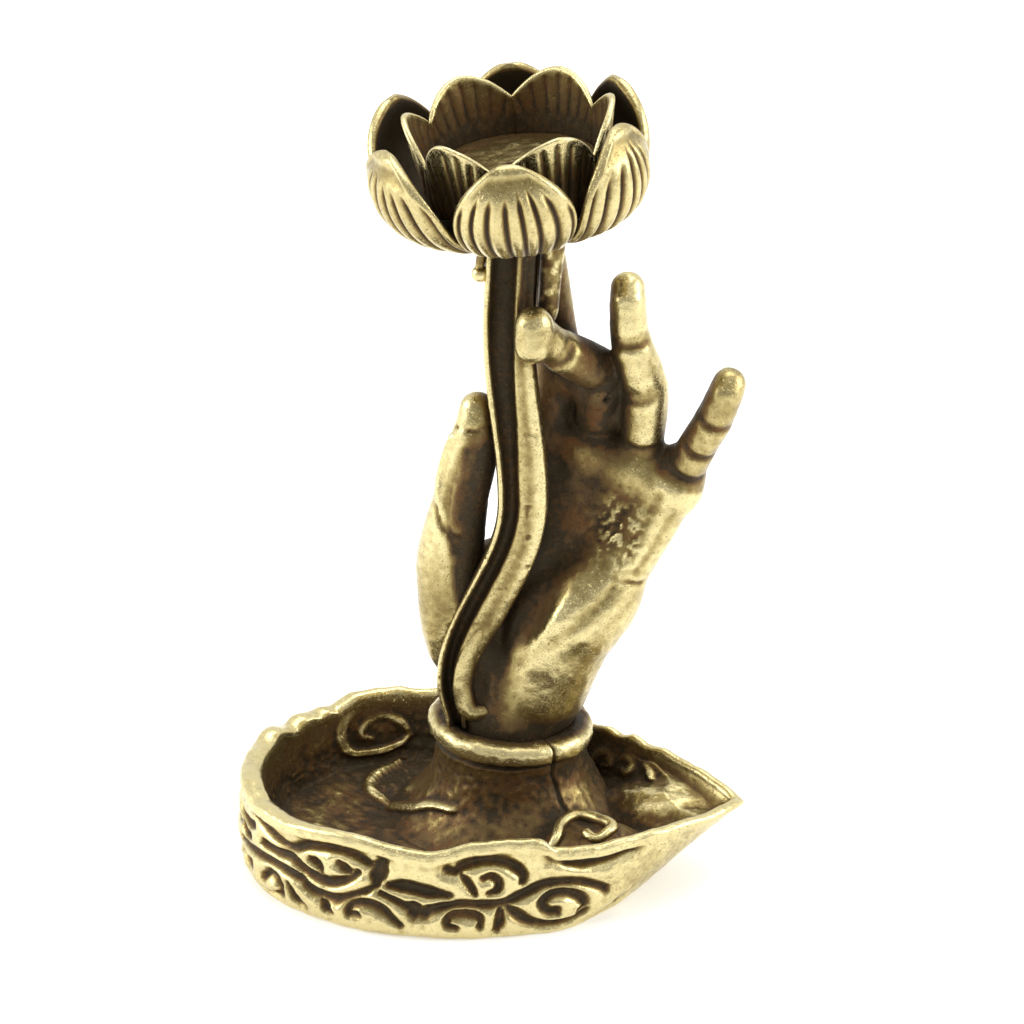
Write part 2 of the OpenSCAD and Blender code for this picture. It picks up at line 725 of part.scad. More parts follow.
dish();
wrist_collar();
hand();
smoke_channel();
stalk();
stem_bud();
lotus_cup();
inner_petal(1);  // inner_petal_1
inner_petal(2);  // inner_petal_2
inner_petal(3);  // inner_petal_3
inner_petal(4);  // inner_petal_4
inner_petal(5);  // inner_petal_5
inner_petal(6);  // inner_petal_6
outer_petal(1);  // outer_petal_1
outer_petal(2);  // outer_petal_2
outer_petal(3);  // outer_petal_3
outer_petal(4);  // outer_petal_4
outer_petal(5);  // outer_petal_5
outer_petal(6);  // outer_petal_6
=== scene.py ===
import json
import math

import bpy
import numpy as np
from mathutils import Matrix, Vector


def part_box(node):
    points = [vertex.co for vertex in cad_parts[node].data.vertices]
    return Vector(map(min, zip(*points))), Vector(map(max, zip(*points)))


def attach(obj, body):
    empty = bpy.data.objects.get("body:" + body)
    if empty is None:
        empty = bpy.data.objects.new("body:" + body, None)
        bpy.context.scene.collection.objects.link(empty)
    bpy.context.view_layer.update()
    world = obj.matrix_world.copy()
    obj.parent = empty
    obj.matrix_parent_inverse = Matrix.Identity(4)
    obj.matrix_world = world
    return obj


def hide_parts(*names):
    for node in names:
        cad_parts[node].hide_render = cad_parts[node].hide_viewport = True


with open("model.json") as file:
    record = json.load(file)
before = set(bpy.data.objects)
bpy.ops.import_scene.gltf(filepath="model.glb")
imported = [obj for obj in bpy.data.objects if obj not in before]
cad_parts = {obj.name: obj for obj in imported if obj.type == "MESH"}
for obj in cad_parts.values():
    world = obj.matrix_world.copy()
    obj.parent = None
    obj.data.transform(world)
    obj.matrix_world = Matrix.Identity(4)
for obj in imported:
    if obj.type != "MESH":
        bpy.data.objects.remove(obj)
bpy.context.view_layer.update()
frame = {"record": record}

# Looks of the backflow incense burner: antique cast brass, dark in its hollows and worn pale on
# what stands out. All lengths below are millimetres in the part's frame until a mesh is made.

MM = 0.001
GAP = 0.1
PETALS = 6
FRONT = np.array([0, -1.0, 0])
UP = np.array([0, 0, 1.0])


def box_mm(node):
    low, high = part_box(node)
    return np.array(low) / MM, np.array(high) / MM


def unit(v):
    return v / np.maximum(np.linalg.norm(v, axis=-1, keepdims=True), 1e-9)


def lerp(a, b, t):
    return a + (b - a) * t


def smooth(low, high, x):
    t = np.clip((x - low) / (high - low), 0, 1)
    return t * t * (3 - 2 * t)


def bump(x, middle, width):
    return np.exp(-(((x - middle) / width) ** 2))


def spot(points, middle, stretch, width):
    """A soft round spot: 1 at its middle, fading over this width."""
    return bump(np.linalg.norm((points - middle) * stretch, axis=-1), 0, width)


def mix_at(x, *pairs):
    """Straight blend between pairs of place and value."""
    places, values = zip(*pairs)
    return np.interp(x, places, values)


def around(count):
    """Angles of this many steps round a circle."""
    return np.linspace(0, 2 * math.pi, count, endpoint=False)


def circle(a):
    return np.stack([np.cos(a), np.sin(a)], -1)


def raised_to(places, z):
    """Places on a plane lifted to this height, one for all or one for each."""
    return np.concatenate([places, np.broadcast_to(z, places.shape[:-1])[..., None]], -1)


# Places taken from the frame
ring_low, ring_high = box_mm("wrist_collar")
COLLAR_R = (ring_high[0] - ring_low[0]) / 2
COLLAR_H = ring_high[2] - ring_low[2]
SEAT = np.array([*(ring_low + ring_high)[:2] / 2, ring_low[2] - GAP])
cup_mount = next(m for m in frame["record"]["mounts"] if m["name"] == "cone_seat")
BLOOM_BASE = SEAT + [1.4, -3.1, 54.2]
BLOOM_UP = unit(np.array(cup_mount["axis"]))
BLOOM_RIGHT = unit(np.cross([0, 1, 0], BLOOM_UP))
BLOOM_BACK = np.cross(BLOOM_UP, BLOOM_RIGHT)


def in_bloom(x, y, z):
    """Points of the bloom's own frame, its axis up from the cup's underside."""
    return BLOOM_BASE + x[..., None] * BLOOM_RIGHT + y[..., None] * BLOOM_BACK + z[..., None] * BLOOM_UP


# Noise and lines

NOISE_CELLS = 32
NOISE_SHIFT = 512.0
FAR = 1e3


def lumps(points, size, seed):
    """Smooth noise from -1 to 1 at points, with lumps of about this size."""
    table = np.random.default_rng(seed).uniform(-1, 1, (NOISE_CELLS,) * 3)
    p = points / size + NOISE_SHIFT
    low = np.floor(p).astype(int)
    t = p - low
    t = t * t * (3 - 2 * t)
    total = np.zeros(points.shape[:-1])
    for corner in np.ndindex(2, 2, 2):
        i, j, k = np.moveaxis((low + corner) % NOISE_CELLS, -1, 0)
        total += np.prod(np.where(corner, t, 1 - t), axis=-1) * table[i, j, k]
    return total


def rough(points, size, seed):
    """Lumps with finer lumps on them."""
    return sum(lumps(points, size / 2**n, seed + n) / 2**n for n in range(3)) / 1.75


def roughened(points, amount, size, seed, way):
    """The same points moved this way and back by up to about this amount."""
    return points + (amount * rough(points, size, seed))[..., None] * way


def flowing(points, steps=8):
    """A smooth line through these points."""
    p = np.array(points, float)
    p = np.concatenate([2 * p[:1] - p[1:2], p, 2 * p[-1:] - p[-2:-1]])
    t = np.linspace(0, 1, steps, endpoint=False)[:, None]
    spans = [
        0.5 * (2 * b + (c - a) * t + (2 * a - 5 * b + 4 * c - d) * t**2 + (3 * b - a - 3 * c + d) * t**3)
        for a, b, c, d in zip(p, p[1:], p[2:], p[3:])
    ]
    return np.concatenate(spans + [p[-2:-1]])


def near_line(points, line, reach):
    """Distance of each point from a line of points, and the share along it; far where over reach."""
    line = np.asarray(line, float)
    flat = points.reshape(-1, points.shape[-1])
    away, share = np.full(len(flat), FAR), np.zeros(len(flat))
    close = np.all((flat > line.min(0) - reach) & (flat < line.max(0) + reach), axis=1)
    p = flat[close]
    best, where = np.full(len(p), FAR), np.zeros(len(p))
    for i, (a, b) in enumerate(zip(line, line[1:])):
        step = b - a
        t = np.clip((p - a) @ step / max(step @ step, 1e-9), 0, 1)
        d = np.linalg.norm(p - a - t[:, None] * step, axis=1)
        nearer = d < best
        best = np.where(nearer, d, best)
        where = np.where(nearer, (i + t) / (len(line) - 1), where)
    away[close], share[close] = best, where
    return away.reshape(points.shape[:-1]), share.reshape(points.shape[:-1])


def ridge(points, line, half_width, edge, taper):
    """How much of a raised line there is at each point, 0 to 1, narrower at its ends."""
    d, share = near_line(points, line, half_width + 2 * edge)
    ends = np.minimum(share, 1 - share)
    width = half_width * (1 - taper * (1 - smooth(0, 0.3, ends)))
    return 1 - smooth(width - edge, width + edge, d)


# Meshes

pieces = []


def grid_quads(rows, cols):
    """Quads of a grid whose second direction runs round."""
    i, j = np.meshgrid(np.arange(rows - 1), np.arange(cols), indexing="ij")
    a, b = i * cols + j, i * cols + (j + 1) % cols
    return np.stack([a, b, b + cols, a + cols], -1).reshape(-1, 4)


def grid_normals(points):
    """Normals of a grid whose second direction runs round."""
    rows = np.gradient(points, axis=0)
    cols = np.roll(points, -1, axis=1) - np.roll(points, 1, axis=1)
    return unit(np.cross(cols, rows))


def corner_normals(points, quads):
    """Normals of a mesh at its points, as long as the area round each."""
    n = np.cross(points[quads[:, 2]] - points[quads[:, 0]], points[quads[:, 3]] - points[quads[:, 1]])
    sums = [np.bincount(quads.ravel(), np.repeat(n[:, k], 4), len(points)) for k in range(3)]
    return np.stack(sums, -1) / 8


def held_at_ends(values):
    """The same rows with the first and the last doubled."""
    return np.concatenate([values[:1], values, values[-1:]])


def with_ends(points):
    """The same rows of points, closed at each end by the middle of the end row."""
    closed = held_at_ends(points)
    for end in (0, -1):
        closed[end] = points[end].mean(0)
    return closed


def rejoined(rows):
    """The same rows with the first again after the last."""
    return np.concatenate([rows, rows[:1]])


def weld(points, quads, *values):
    """Joins points that lie on each other."""
    _, first, back = np.unique(np.round(points, 4), axis=0, return_index=True, return_inverse=True)
    return [points[first], back.reshape(-1)[quads], *[v[first] for v in values]]


def add_piece(name, node, slot, points, quads=None, wear_and_shade=0.0, grit=0.0):
    """Keeps a closed mesh, a grid unless it has quads: wear, with painted shade and highlight on the hand,
    adds to its shine, grit roughens its skin.
    """
    if quads is None:
        quads = grid_quads(*points.shape[:2])
    wear_and_shade, grit = (np.broadcast_to(v, points.shape[:-1]).reshape(-1) for v in (wear_and_shade, grit))
    points, quads, wear_and_shade, grit = weld(points.reshape(-1, 3), quads, wear_and_shade, grit)
    same = [np.count_nonzero(quads == quads[:, [k]], axis=1) for k in range(4)]
    quads = quads[np.sum(np.array(same) > 1, axis=0) < 3]
    a, b, c, d = points[quads].transpose(1, 0, 2)
    if np.sum(np.einsum("ij,ij->i", a, np.cross(b, c) + np.cross(c, d))) < 0:
        quads = quads[:, ::-1]
    pieces.append(dict(name=name, node=node, slot=slot, points=points, quads=quads, wear_and_shade=wear_and_shade, grit=grit))


def tube(line, radii, sides, flat=1.0, flat_along=(0, 1, 0)):
    """Rings of a tube along a line of points, squeezed in one direction."""
    along = unit(np.gradient(line, axis=0))
    across = unit(np.cross(np.broadcast_to(flat_along, along.shape), along))
    out = np.cross(along, across)
    a = around(sides)[:, None]
    r = radii[:, None, None]
    return line[:, None] + r * (np.cos(a) * across[:, None] + flat * np.sin(a) * out[:, None])


# Clay: blended round bones in a block of voxels, then skinned

HAND_STEP = 0.24
HAND_MARGIN = 2.5
BONE_REACH = 1.5


class Clay:
    """A block of voxels holding distances to a skin, negative inside."""

    def __init__(self, low, high, step):
        self.low, self.step = np.array(low, float), step
        counts = np.ceil((np.array(high) - low) / step).astype(int) + 1
        self.field = np.full(counts, 5.0, np.float32)
        self.scored = np.zeros_like(self.field)

    def window(self, places, reach):
        """The part of the block round these places, and its voxels' places."""
        places = np.atleast_2d(places)
        first = np.floor((places.min(0) - reach - self.low) / self.step).astype(int)
        last = np.ceil((places.max(0) + reach - self.low) / self.step).astype(int) + 1
        first, last = np.clip(first, 0, self.field.shape), np.clip(last, 0, self.field.shape)
        spans = tuple(slice(a, b) for a, b in zip(first, last))
        axes = [(self.low[k] + self.step * np.arange(first[k], last[k])).astype(np.float32) for k in range(3)]
        return spans, np.meshgrid(*axes, indexing="ij", sparse=True)

    def away(self, p, a, b, ra, rb):
        """Distance of the window's voxels from a round bone."""
        step = np.subtract(b, a)
        t = sum((p[k] - a[k]) * step[k] for k in range(3)) / max(step @ step, 1e-6)
        t = np.clip(t, 0, 1)
        return np.sqrt(sum((p[k] - a[k] - t * step[k]) ** 2 for k in range(3))) - (ra + (rb - ra) * t)

    def bone(self, a, b, ra, rb, reach):
        spans, p = self.window([a, b], max(ra, rb) + reach)
        return spans, self.away(p, a, b, ra, rb)

    def join(self, spans, d, blend):
        f = self.field[spans]
        h = np.maximum(blend - np.abs(f - d), 0) / blend
        self.field[spans] = np.minimum(f, d) - h * h * blend / 4

    def add(self, a, b, ra, rb, blend):
        spans, d = self.bone(a, b, ra, rb, blend + BONE_REACH)
        self.join(spans, d, blend)

    def add_chain(self, places, radii, blend):
        for i in range(len(places) - 1):
            self.add(places[i], places[i + 1], radii[i], radii[i + 1], blend)

    def add_limb(self, places, radii, blend):
        """A smooth limb through these places, without swellings where its bones meet."""
        line = flowing(places, 4)
        thick = np.interp(np.linspace(0, 1, len(line)), np.linspace(0, 1, len(radii)), radii)
        spans, p = self.window(line, max(radii) + blend + BONE_REACH)
        limb = np.inf
        for a, b, ra, rb in zip(line, line[1:], thick, thick[1:]):
            limb = np.minimum(limb, self.away(p, a, b, ra, rb))
        self.join(spans, limb, blend)

    def cut(self, a, b, r, blend):
        spans, d = self.bone(a, b, r, r, blend + BONE_REACH)
        f = self.field[spans]
        h = np.maximum(blend - np.abs(f + d), 0) / blend
        self.field[spans] = np.maximum(f, -d) + h * h * blend / 4

    def score(self, line, width, depth):
        """Marks a furrow along a line on the skin."""
        line = np.asarray(line, float)
        for a, b in zip(line, line[1:]):
            spans, d = self.bone(a, b, 0, 0, 3 * width)
            self.scored[spans] = np.maximum(self.scored[spans], depth * np.exp(-((d / width) ** 2)))

    def press_scores(self):
        self.field += self.scored

    def crossing(self, cells, corners):
        """Mean place, within each cell, where the cell's edges cross the skin."""
        values = self.field[tuple(np.moveaxis(cells[:, None] + corners, -1, 0))]
        place, count = np.zeros((len(cells), 3)), np.zeros((len(cells), 1))
        pairs = [(i, j) for i in range(8) for j in range(i + 1, 8)]
        edges = [(i, j) for i, j in pairs if np.abs(corners[i] - corners[j]).sum() == 1]
        for i, j in edges:
            a, b = values[:, i], values[:, j]
            crossed = (a < 0) != (b < 0)
            t = np.where(crossed, a / np.where(crossed, a - b, 1), 0)[:, None]
            place += crossed[:, None] * (corners[i] + t * (corners[j] - corners[i]))
            count += crossed[:, None]
        return place / count

    def faces(self, inside, number, axis):
        """Quads of the cells round each voxel edge along this axis that the skin crosses."""
        u, v = [k for k in range(3) if k != axis]
        start = [slice(1, s) for s in number.shape]
        start[axis] = slice(0, number.shape[axis])
        ahead = list(start)
        ahead[axis] = slice(1, number.shape[axis] + 1)
        near, far = inside[tuple(start)], inside[tuple(ahead)]
        edges = np.argwhere(near != far)
        base = edges + [0 if k == axis else 1 for k in range(3)]
        ring = []
        for du, dv in ((1, 1), (0, 1), (0, 0), (1, 0)):
            cell = base.copy()
            cell[:, u] -= du
            cell[:, v] -= dv
            ring.append(number[tuple(cell.T)])
        ring = np.stack(ring, -1)
        kept = near[tuple(edges.T)] != (axis == 1)
        ring[~kept] = ring[~kept][:, ::-1]
        return ring

    def skin(self):
        """Points and quads of the surface where the distance is nought."""
        inside = self.field < 0
        shape = np.array(self.field.shape) - 1
        corners = np.array(list(np.ndindex(2, 2, 2)))
        filled = np.zeros(shape, np.int8)
        for corner in corners:
            filled += inside[tuple(slice(c, c + n) for c, n in zip(corner, shape))]
        cells = np.argwhere((filled > 0) & (filled < len(corners)))
        points = self.low + self.step * (cells + self.crossing(cells, corners))
        number = np.full(shape, -1)
        number[tuple(cells.T)] = np.arange(len(cells))
        return points, np.concatenate([self.faces(inside, number, axis) for axis in range(3)])


# Stem

STEM_BENDS = np.array([
    SEAT + [-3.9, -4.4, COLLAR_H + 2 * GAP],
    SEAT + [-4.8, -4.4, 7.5],
    SEAT + [1.2, -5.4, 27],
    SEAT + [-0.2, -4.9, 43.5],
    BLOOM_BASE + [-1.3, -1.4, 0],
])
STEM_LOW, STEM_TOP = STEM_BENDS[0, 2], STEM_BENDS[-1, 2]
GROOVE_W, GROOVE_D = 1.9, 1.6
LIP_LEFT, LIP_RIGHT = 0.9, 1.9
CHANNEL_BACK = 1.0
HALF_GROOVE = GROOVE_W / 2
CHANNEL_LEFT, CHANNEL_RIGHT = -HALF_GROOVE - LIP_LEFT, HALF_GROOVE + LIP_RIGHT
CHANNEL_DEEP = GROOVE_D + CHANNEL_BACK
LIP_HIGH = GROOVE_D / 2
CHANNEL_ROWS = 400
STALK_R, STALK_LEN = 0.95, 12
BUD_R, BUD_NECK_R, BUD_DROP = 0.8, 0.45, 5.0


def stem_point(z):
    z = np.asarray(z, float)
    i = np.clip(np.searchsorted(STEM_BENDS[1:-1, 2], z), 0, len(STEM_BENDS) - 2)
    a, b = STEM_BENDS[i], STEM_BENDS[i + 1]
    t = np.clip((z - a[..., 2]) / (b[..., 2] - a[..., 2]), 0, 1)
    p = lerp(a, b, ((1 - np.cos(math.pi * t)) / 2)[..., None])
    p[..., 2] = z
    return p


def stem_frame(z):
    """Middle of the stem at a height, and its directions to the right and to the back."""
    d = 0.1
    along = unit(stem_point(z + d) - stem_point(z - d))
    right = unit(np.cross(np.broadcast_to([0.0, 1, 0], along.shape), along))
    return stem_point(z), right, np.cross(along, right)


def stem_section(z, x, y):
    """Points of the stem's cross section at a height: x to the right, y to the back."""
    middle, right, back = stem_frame(z)
    return middle + np.asarray(x)[..., None] * right + np.asarray(y)[..., None] * back


def under_cup(points):
    """The same points moved straight up or down to one joint gap under the cup."""
    away = points[..., :2] - BLOOM_BASE[:2]
    z = BLOOM_BASE[2] - (away @ BLOOM_UP[:2] + GAP) / BLOOM_UP[2]
    return raised_to(points[..., :2], z)


def arc(middle, rx, ry, start, end, count):
    return middle + np.array([rx, ry]) * circle(np.radians(np.linspace(start, end, count)))


def broad_edge(z):
    """How far the broad lip reaches to the right of the groove's middle."""
    return mix_at(z, (13.6, 0.2), (15, 1.5), (17, 1.6), (25, 2.75), (60, CHANNEL_RIGHT))


def channel_section():
    """Outline across the channel, from the right end of its back round to its right side."""
    back_ends = CHANNEL_RIGHT - LIP_RIGHT / 3, CHANNEL_LEFT + LIP_LEFT / 3
    side_low, side_high = CHANNEL_DEEP * 0.8, LIP_HIGH + 0.2
    return np.concatenate([
        np.stack([np.linspace(*back_ends, 10), np.full(10, CHANNEL_DEEP)], -1),
        np.stack([np.full(4, CHANNEL_LEFT), np.linspace(side_low, side_high, 4)], -1),
        arc((CHANNEL_LEFT + LIP_LEFT / 2, LIP_HIGH), LIP_LEFT / 2, LIP_HIGH, 180, 350, 14),
        arc((0, GROOVE_D - HALF_GROOVE), HALF_GROOVE * 1.04, HALF_GROOVE, 180, 0, 18),
        arc((CHANNEL_RIGHT - LIP_RIGHT / 2, LIP_HIGH), LIP_RIGHT / 2, LIP_HIGH, 190, 360, 20),
        np.stack([np.full(4, CHANNEL_RIGHT), np.linspace(side_high, side_low, 4)], -1),
    ])


def channel_width(x, z):
    """Places across the channel at a height, from those of the plain section."""
    left_to = CHANNEL_LEFT + 0.72
    edge = mix_at(z, (18, -0.35), (24, 0.0), (40, 0.05), (46, 0.55), (52, 0.95))
    in_groove = lerp(left_to, edge, (x + HALF_GROOVE) / GROOVE_W)
    in_right = lerp(edge, broad_edge(z), (x - HALF_GROOVE) / LIP_RIGHT)
    in_left = lerp(CHANNEL_LEFT, left_to, (x - CHANNEL_LEFT) / LIP_LEFT)
    return np.where(x < -HALF_GROOVE, in_left, np.where(x > HALF_GROOVE, in_right, in_groove))


def build_channel():
    """Open smoke channel: thin left lip, broad right lip, and a dark groove between them."""
    section = channel_section()
    z = np.linspace(STEM_LOW, STEM_TOP, CHANNEL_ROWS)[:, None]
    x, y = (np.broadcast_to(section[:, k], (CHANNEL_ROWS, len(section))).copy() for k in (0, 1))
    in_dark = smooth(HALF_GROOVE + 0.25, HALF_GROOVE - 0.2, np.abs(x)) * smooth(0.15, 0.6, y)
    # Near the bloom the right lip thins to a crest beside the groove
    sunk = smooth(HALF_GROOVE + 0.35, HALF_GROOVE + 1.0, x) * (y < LIP_HIGH + 0.3) * smooth(52, 57, z)
    y += 1.1 * sunk
    # The broad lip is flattened, with a ridge along its right edge
    broad = smooth(HALF_GROOVE + 0.1, HALF_GROOVE + 0.4, x) * (y < LIP_HIGH)
    y += broad * 0.22 * bump(x, HALF_GROOVE + 0.9, 0.5) * (1 - smooth(52, 56, z))
    z_grid = np.broadcast_to(z, x.shape)
    points = stem_section(z_grid, channel_width(x, z), y)
    points[-1] = under_cup(points[-1])
    shape = 0.06 * rough(points, 1.6, 11) + 0.03 * lumps(points, 0.5, 12)
    nicks = np.minimum(0, lumps(points, 0.8, 13) + 0.66) * 0.5 * smooth(18, 22, points[..., 2])
    back = stem_frame(z_grid)[2]
    points = points - (shape + nicks)[..., None] * back
    points[-1] = under_cup(points[-1])
    points = with_ends(points)
    groove = held_at_ends(np.maximum(in_dark, 0.75 * sunk))
    # Painted shade: the broad lip drawn darker along its inner part next to the groove, from about a third of
    # the way up
    inner_lip_shade = smooth(HALF_GROOVE + 1.3, HALF_GROOVE + 0.7, x) * (x > HALF_GROOVE) * smooth(26, 34, z)
    wear_and_shade = 0.02 - 0.2 * held_at_ends(inner_lip_shade) - (0.66 + 0.25 * smooth(46, 56, points[..., 2])) * groove
    add_piece("cast_smoke_channel", "smoke_channel", "stem_brass", points, wear_and_shade=wear_and_shade, grit=0.5)


def build_channel_curl():
    """Lower end of the right lip, hooked to the right."""
    down_the_lip = (
        (30.0, 1.4, 1.7), (25.0, 1.25, 1.0), (20.5, 0.9, 0.56), (17.6, 0.66, 0.44), (15.9, 0.6, 0.38))
    hook = [0.25, -0.15, -0.95], [0.95, -0.25, -1.45], [1.8, -0.3, -1.3], [2.5, -0.3, -0.9]
    tail = [stem_section(*place) for place in down_the_lip]
    line = flowing(tail + [tail[-1] + step for step in hook], 10)
    t = np.linspace(0, 1, len(line))
    radii = mix_at(t, (0, 0.05), (0.06, 0.7), (0.3, 1.0), (0.75, 0.95), (0.9, 0.72), (0.97, 0.55), (1, 0.02))
    points = roughened(tube(line, radii, 20, flat=0.75), 0.05, 1.0, 21, FRONT)
    add_piece("cast_channel_curl", "smoke_channel", "stem_brass", points, wear_and_shade=0.06, grit=0.4)


def build_stalk():
    """Round stalk at the right of the channel, up to the cup."""
    rows, sides = 90, 28
    z = np.linspace(STEM_TOP - STALK_LEN, STEM_TOP, rows)[:, None]
    t = np.linspace(0, 1, rows)[:, None]
    r = (STALK_R + 0.3 * t * t) * np.sqrt(smooth(-0.02, 0.3, t))
    a = around(sides)
    x = CHANNEL_RIGHT + GAP + r * (1 + np.cos(a))
    points = stem_section(np.broadcast_to(z, x.shape), x, CHANNEL_DEEP + r * np.sin(a))
    points = roughened(points, 0.16, 0.9, 31, FRONT)
    points[-1] = under_cup(points[-1])
    points = with_ends(points)
    mottle = smooth(-0.1, 0.4, lumps(points, 0.7, 33))
    add_piece("cast_stalk", "stalk", "stem_brass", points, wear_and_shade=0.55 * mottle - 0.4, grit=0.9)


def build_bud():
    """Bead on a thin neck under the cup, at the left of the stem."""
    middle = stem_section(STEM_TOP - BUD_DROP, CHANNEL_LEFT + 0.35 - BUD_R, LIP_HIGH)
    top = under_cup(middle)[2] - middle[2]
    bead_top, neck_low = 0.67, 0.9
    bead = np.sin(np.linspace(-math.pi / 2, 0.98, 22)) * BUD_R
    heights = np.concatenate([bead, np.linspace(neck_low, top, 24)])
    round_r = np.sqrt(np.maximum(0, BUD_R**2 - heights**2))
    neck_r = BUD_NECK_R + 0.18 * smooth(top - 1.4, top, heights)
    radii = np.where(heights > bead_top, neck_r, round_r)
    radii[-1] = 0
    # The neck leans in to the stem on its way up
    lean = np.stack([0.5 * smooth(0.5, top, heights), 0 * heights, heights], -1)
    ring = raised_to(circle(around(32)), 0)
    points = middle + lean[:, None] + radii[:, None, None] * ring
    wear_and_shade = mix_at(heights, (0.4, 0.2), (1.2, -0.35))[:, None]
    add_piece("cast_stem_bud", "stem_bud", "stem_brass", points, wear_and_shade=wear_and_shade, grit=0.2)


# Bloom

CUP_BASE_R, CUP_R, CUP_H = 5.2, 7.8, 5.4
SMOKE_R = 1.25
GROOVE_TOP = np.array([-1.3, -1.4])
PETAL_HALF = 360 / PETALS / 2 - math.degrees(math.asin(GAP / CUP_BASE_R))
BLOOM_TURN = 6
INNER_H, NOTCH_D, INNER_T = 11.4, 2.6, 0.8
INNER_LOW = CUP_H * 0.55
BELLY_R, TIP_R, OUTER_H, OUTER_T = 13.3, 11.7, 11.0, 1.1
# How far each outer petal's tip leans out, and the angles between which each inner petal stands
PETAL_LEAN = (-0.2, 0.0, 1.0, 0.9, 0.2, -0.4)
INNER_SPANS = ((-24, 36), (36, 96), (96, 156), (156, 212), (212, 265), (272, 336))
PETAL_ROWS, PETAL_COLS = 64, 112


def cup_side(z):
    return lerp(CUP_BASE_R, CUP_R, np.sin(math.pi / 2 * np.clip(z / CUP_H, 0, 1)))


def petal_places():
    """Share up the petal, place across it, depth from 0 outside to 1 inside, and which side it is."""
    s = np.linspace(0, 1, PETAL_ROWS)
    u = lerp(s, (1 - np.cos(math.pi * s)) / 2, 0.6)
    a = np.arange(2 * PETAL_COLS) / PETAL_COLS
    v = lerp(np.where(a < 1, 1 - 2 * a, 2 * a - 3), np.cos(math.pi * a), 0.5)
    inside = a >= 1
    u, v = np.meshgrid(u, v, indexing="ij")
    swell = np.sqrt(1 - np.abs(v) ** 8) * np.sqrt(1 - np.abs(2 * u - 1) ** 24)
    depth = 0.5 - 0.5 * np.where(inside, -swell, swell)
    return u, v, depth, np.broadcast_to(inside, u.shape)


def fluting(v, count, span):
    """Rounded ribs with narrow furrows between them: 1 in a furrow, 0 on a rib's crest."""
    pitch = 2 * span / (count - 1)
    place = np.clip((v + span) / pitch, -0.5, count - 0.5)
    off = np.abs(place - np.round(place)) * 2
    return (1 - off) ** 2.4


def turned(r, angle, z):
    a = np.radians(angle)
    return in_bloom(r * np.cos(a), r * np.sin(a), z)


def petal_curve(t):
    """Radius and height up the middle of an outer petal."""
    a, b, c, d = np.array([
        [CUP_BASE_R + GAP, 0],
        [BELLY_R - 0.4, 0.1],
        [BELLY_R * 4 / 3 - TIP_R * 0.22, OUTER_H / 2],
        [TIP_R, OUTER_H],
    ])
    t = t[..., None]
    return (1 - t) ** 3 * a + 3 * t * (1 - t) ** 2 * b + 3 * t**2 * (1 - t) * c + t**3 * d


def outer_petal(n):
    """One of the six big petals, fluted below and smooth at its tip."""
    u, v, depth, inside = petal_places()
    p = petal_curve(u)
    d = unit(petal_curve(np.minimum(u + 0.01, 1)) - petal_curve(np.maximum(u - 0.01, 0)))
    inward = np.stack([-d[..., 1], d[..., 0]], -1)
    s = np.maximum(0, (u - 0.45) / 0.55)
    half = lerp(2.0, PETAL_HALF, np.maximum(0, 1 - s**2.4) ** 0.72)
    from_edge = np.minimum((1 - np.abs(v)) * np.radians(half) * p[..., 0], (1 - u) * 14)
    ends = 0.84 + 0.03 * np.cos(5 * v + 2 * n) - 0.14 * v**2
    furrow = fluting(v + 0.02 * np.sin(7 * v + n), 8, 0.88)
    furrow = furrow * smooth(0.08, 0.32, u) * (1 - smooth(ends - 0.08, ends + 0.05, u))
    rim = bump(from_edge, 0.55, 0.5)
    dish = smooth(0.80, 0.88, u) * smooth(0.6, 1.3, from_edge)
    dent = np.where(inside, 0.0, 0.46 * furrow - 0.18 * rim + 0.14 * dish)
    p = p + (depth * OUTER_T * lerp(1, 0.85, u) + dent)[..., None] * inward
    r, z = p[..., 0], p[..., 1]
    tuck = 1.2 * (v * half / PETAL_HALF) ** 2 * np.sin(math.pi / 2 * np.minimum(1, 2 * u))
    r = np.maximum(r - tuck + PETAL_LEAN[n - 1] * smooth(0.2, 1, u), cup_side(z) + GAP)
    points = turned(r, v * half + BLOOM_TURN + (n - 0.5) * 360 / PETALS, z)
    points = roughened(points, 0.07, 2.2, 40, BLOOM_UP)
    wear_outside = 0.04 - 0.72 * furrow + 0.12 * rim - 0.06 * dish
    wear_and_shade = np.where(inside, -0.8 + 0.5 * bump(from_edge, 0, 0.4), wear_outside)
    add_piece(f"cast_outer_petal_{n}", f"outer_petal_{n}", "outer_petal_brass", points, wear_and_shade=wear_and_shade, grit=0.35)


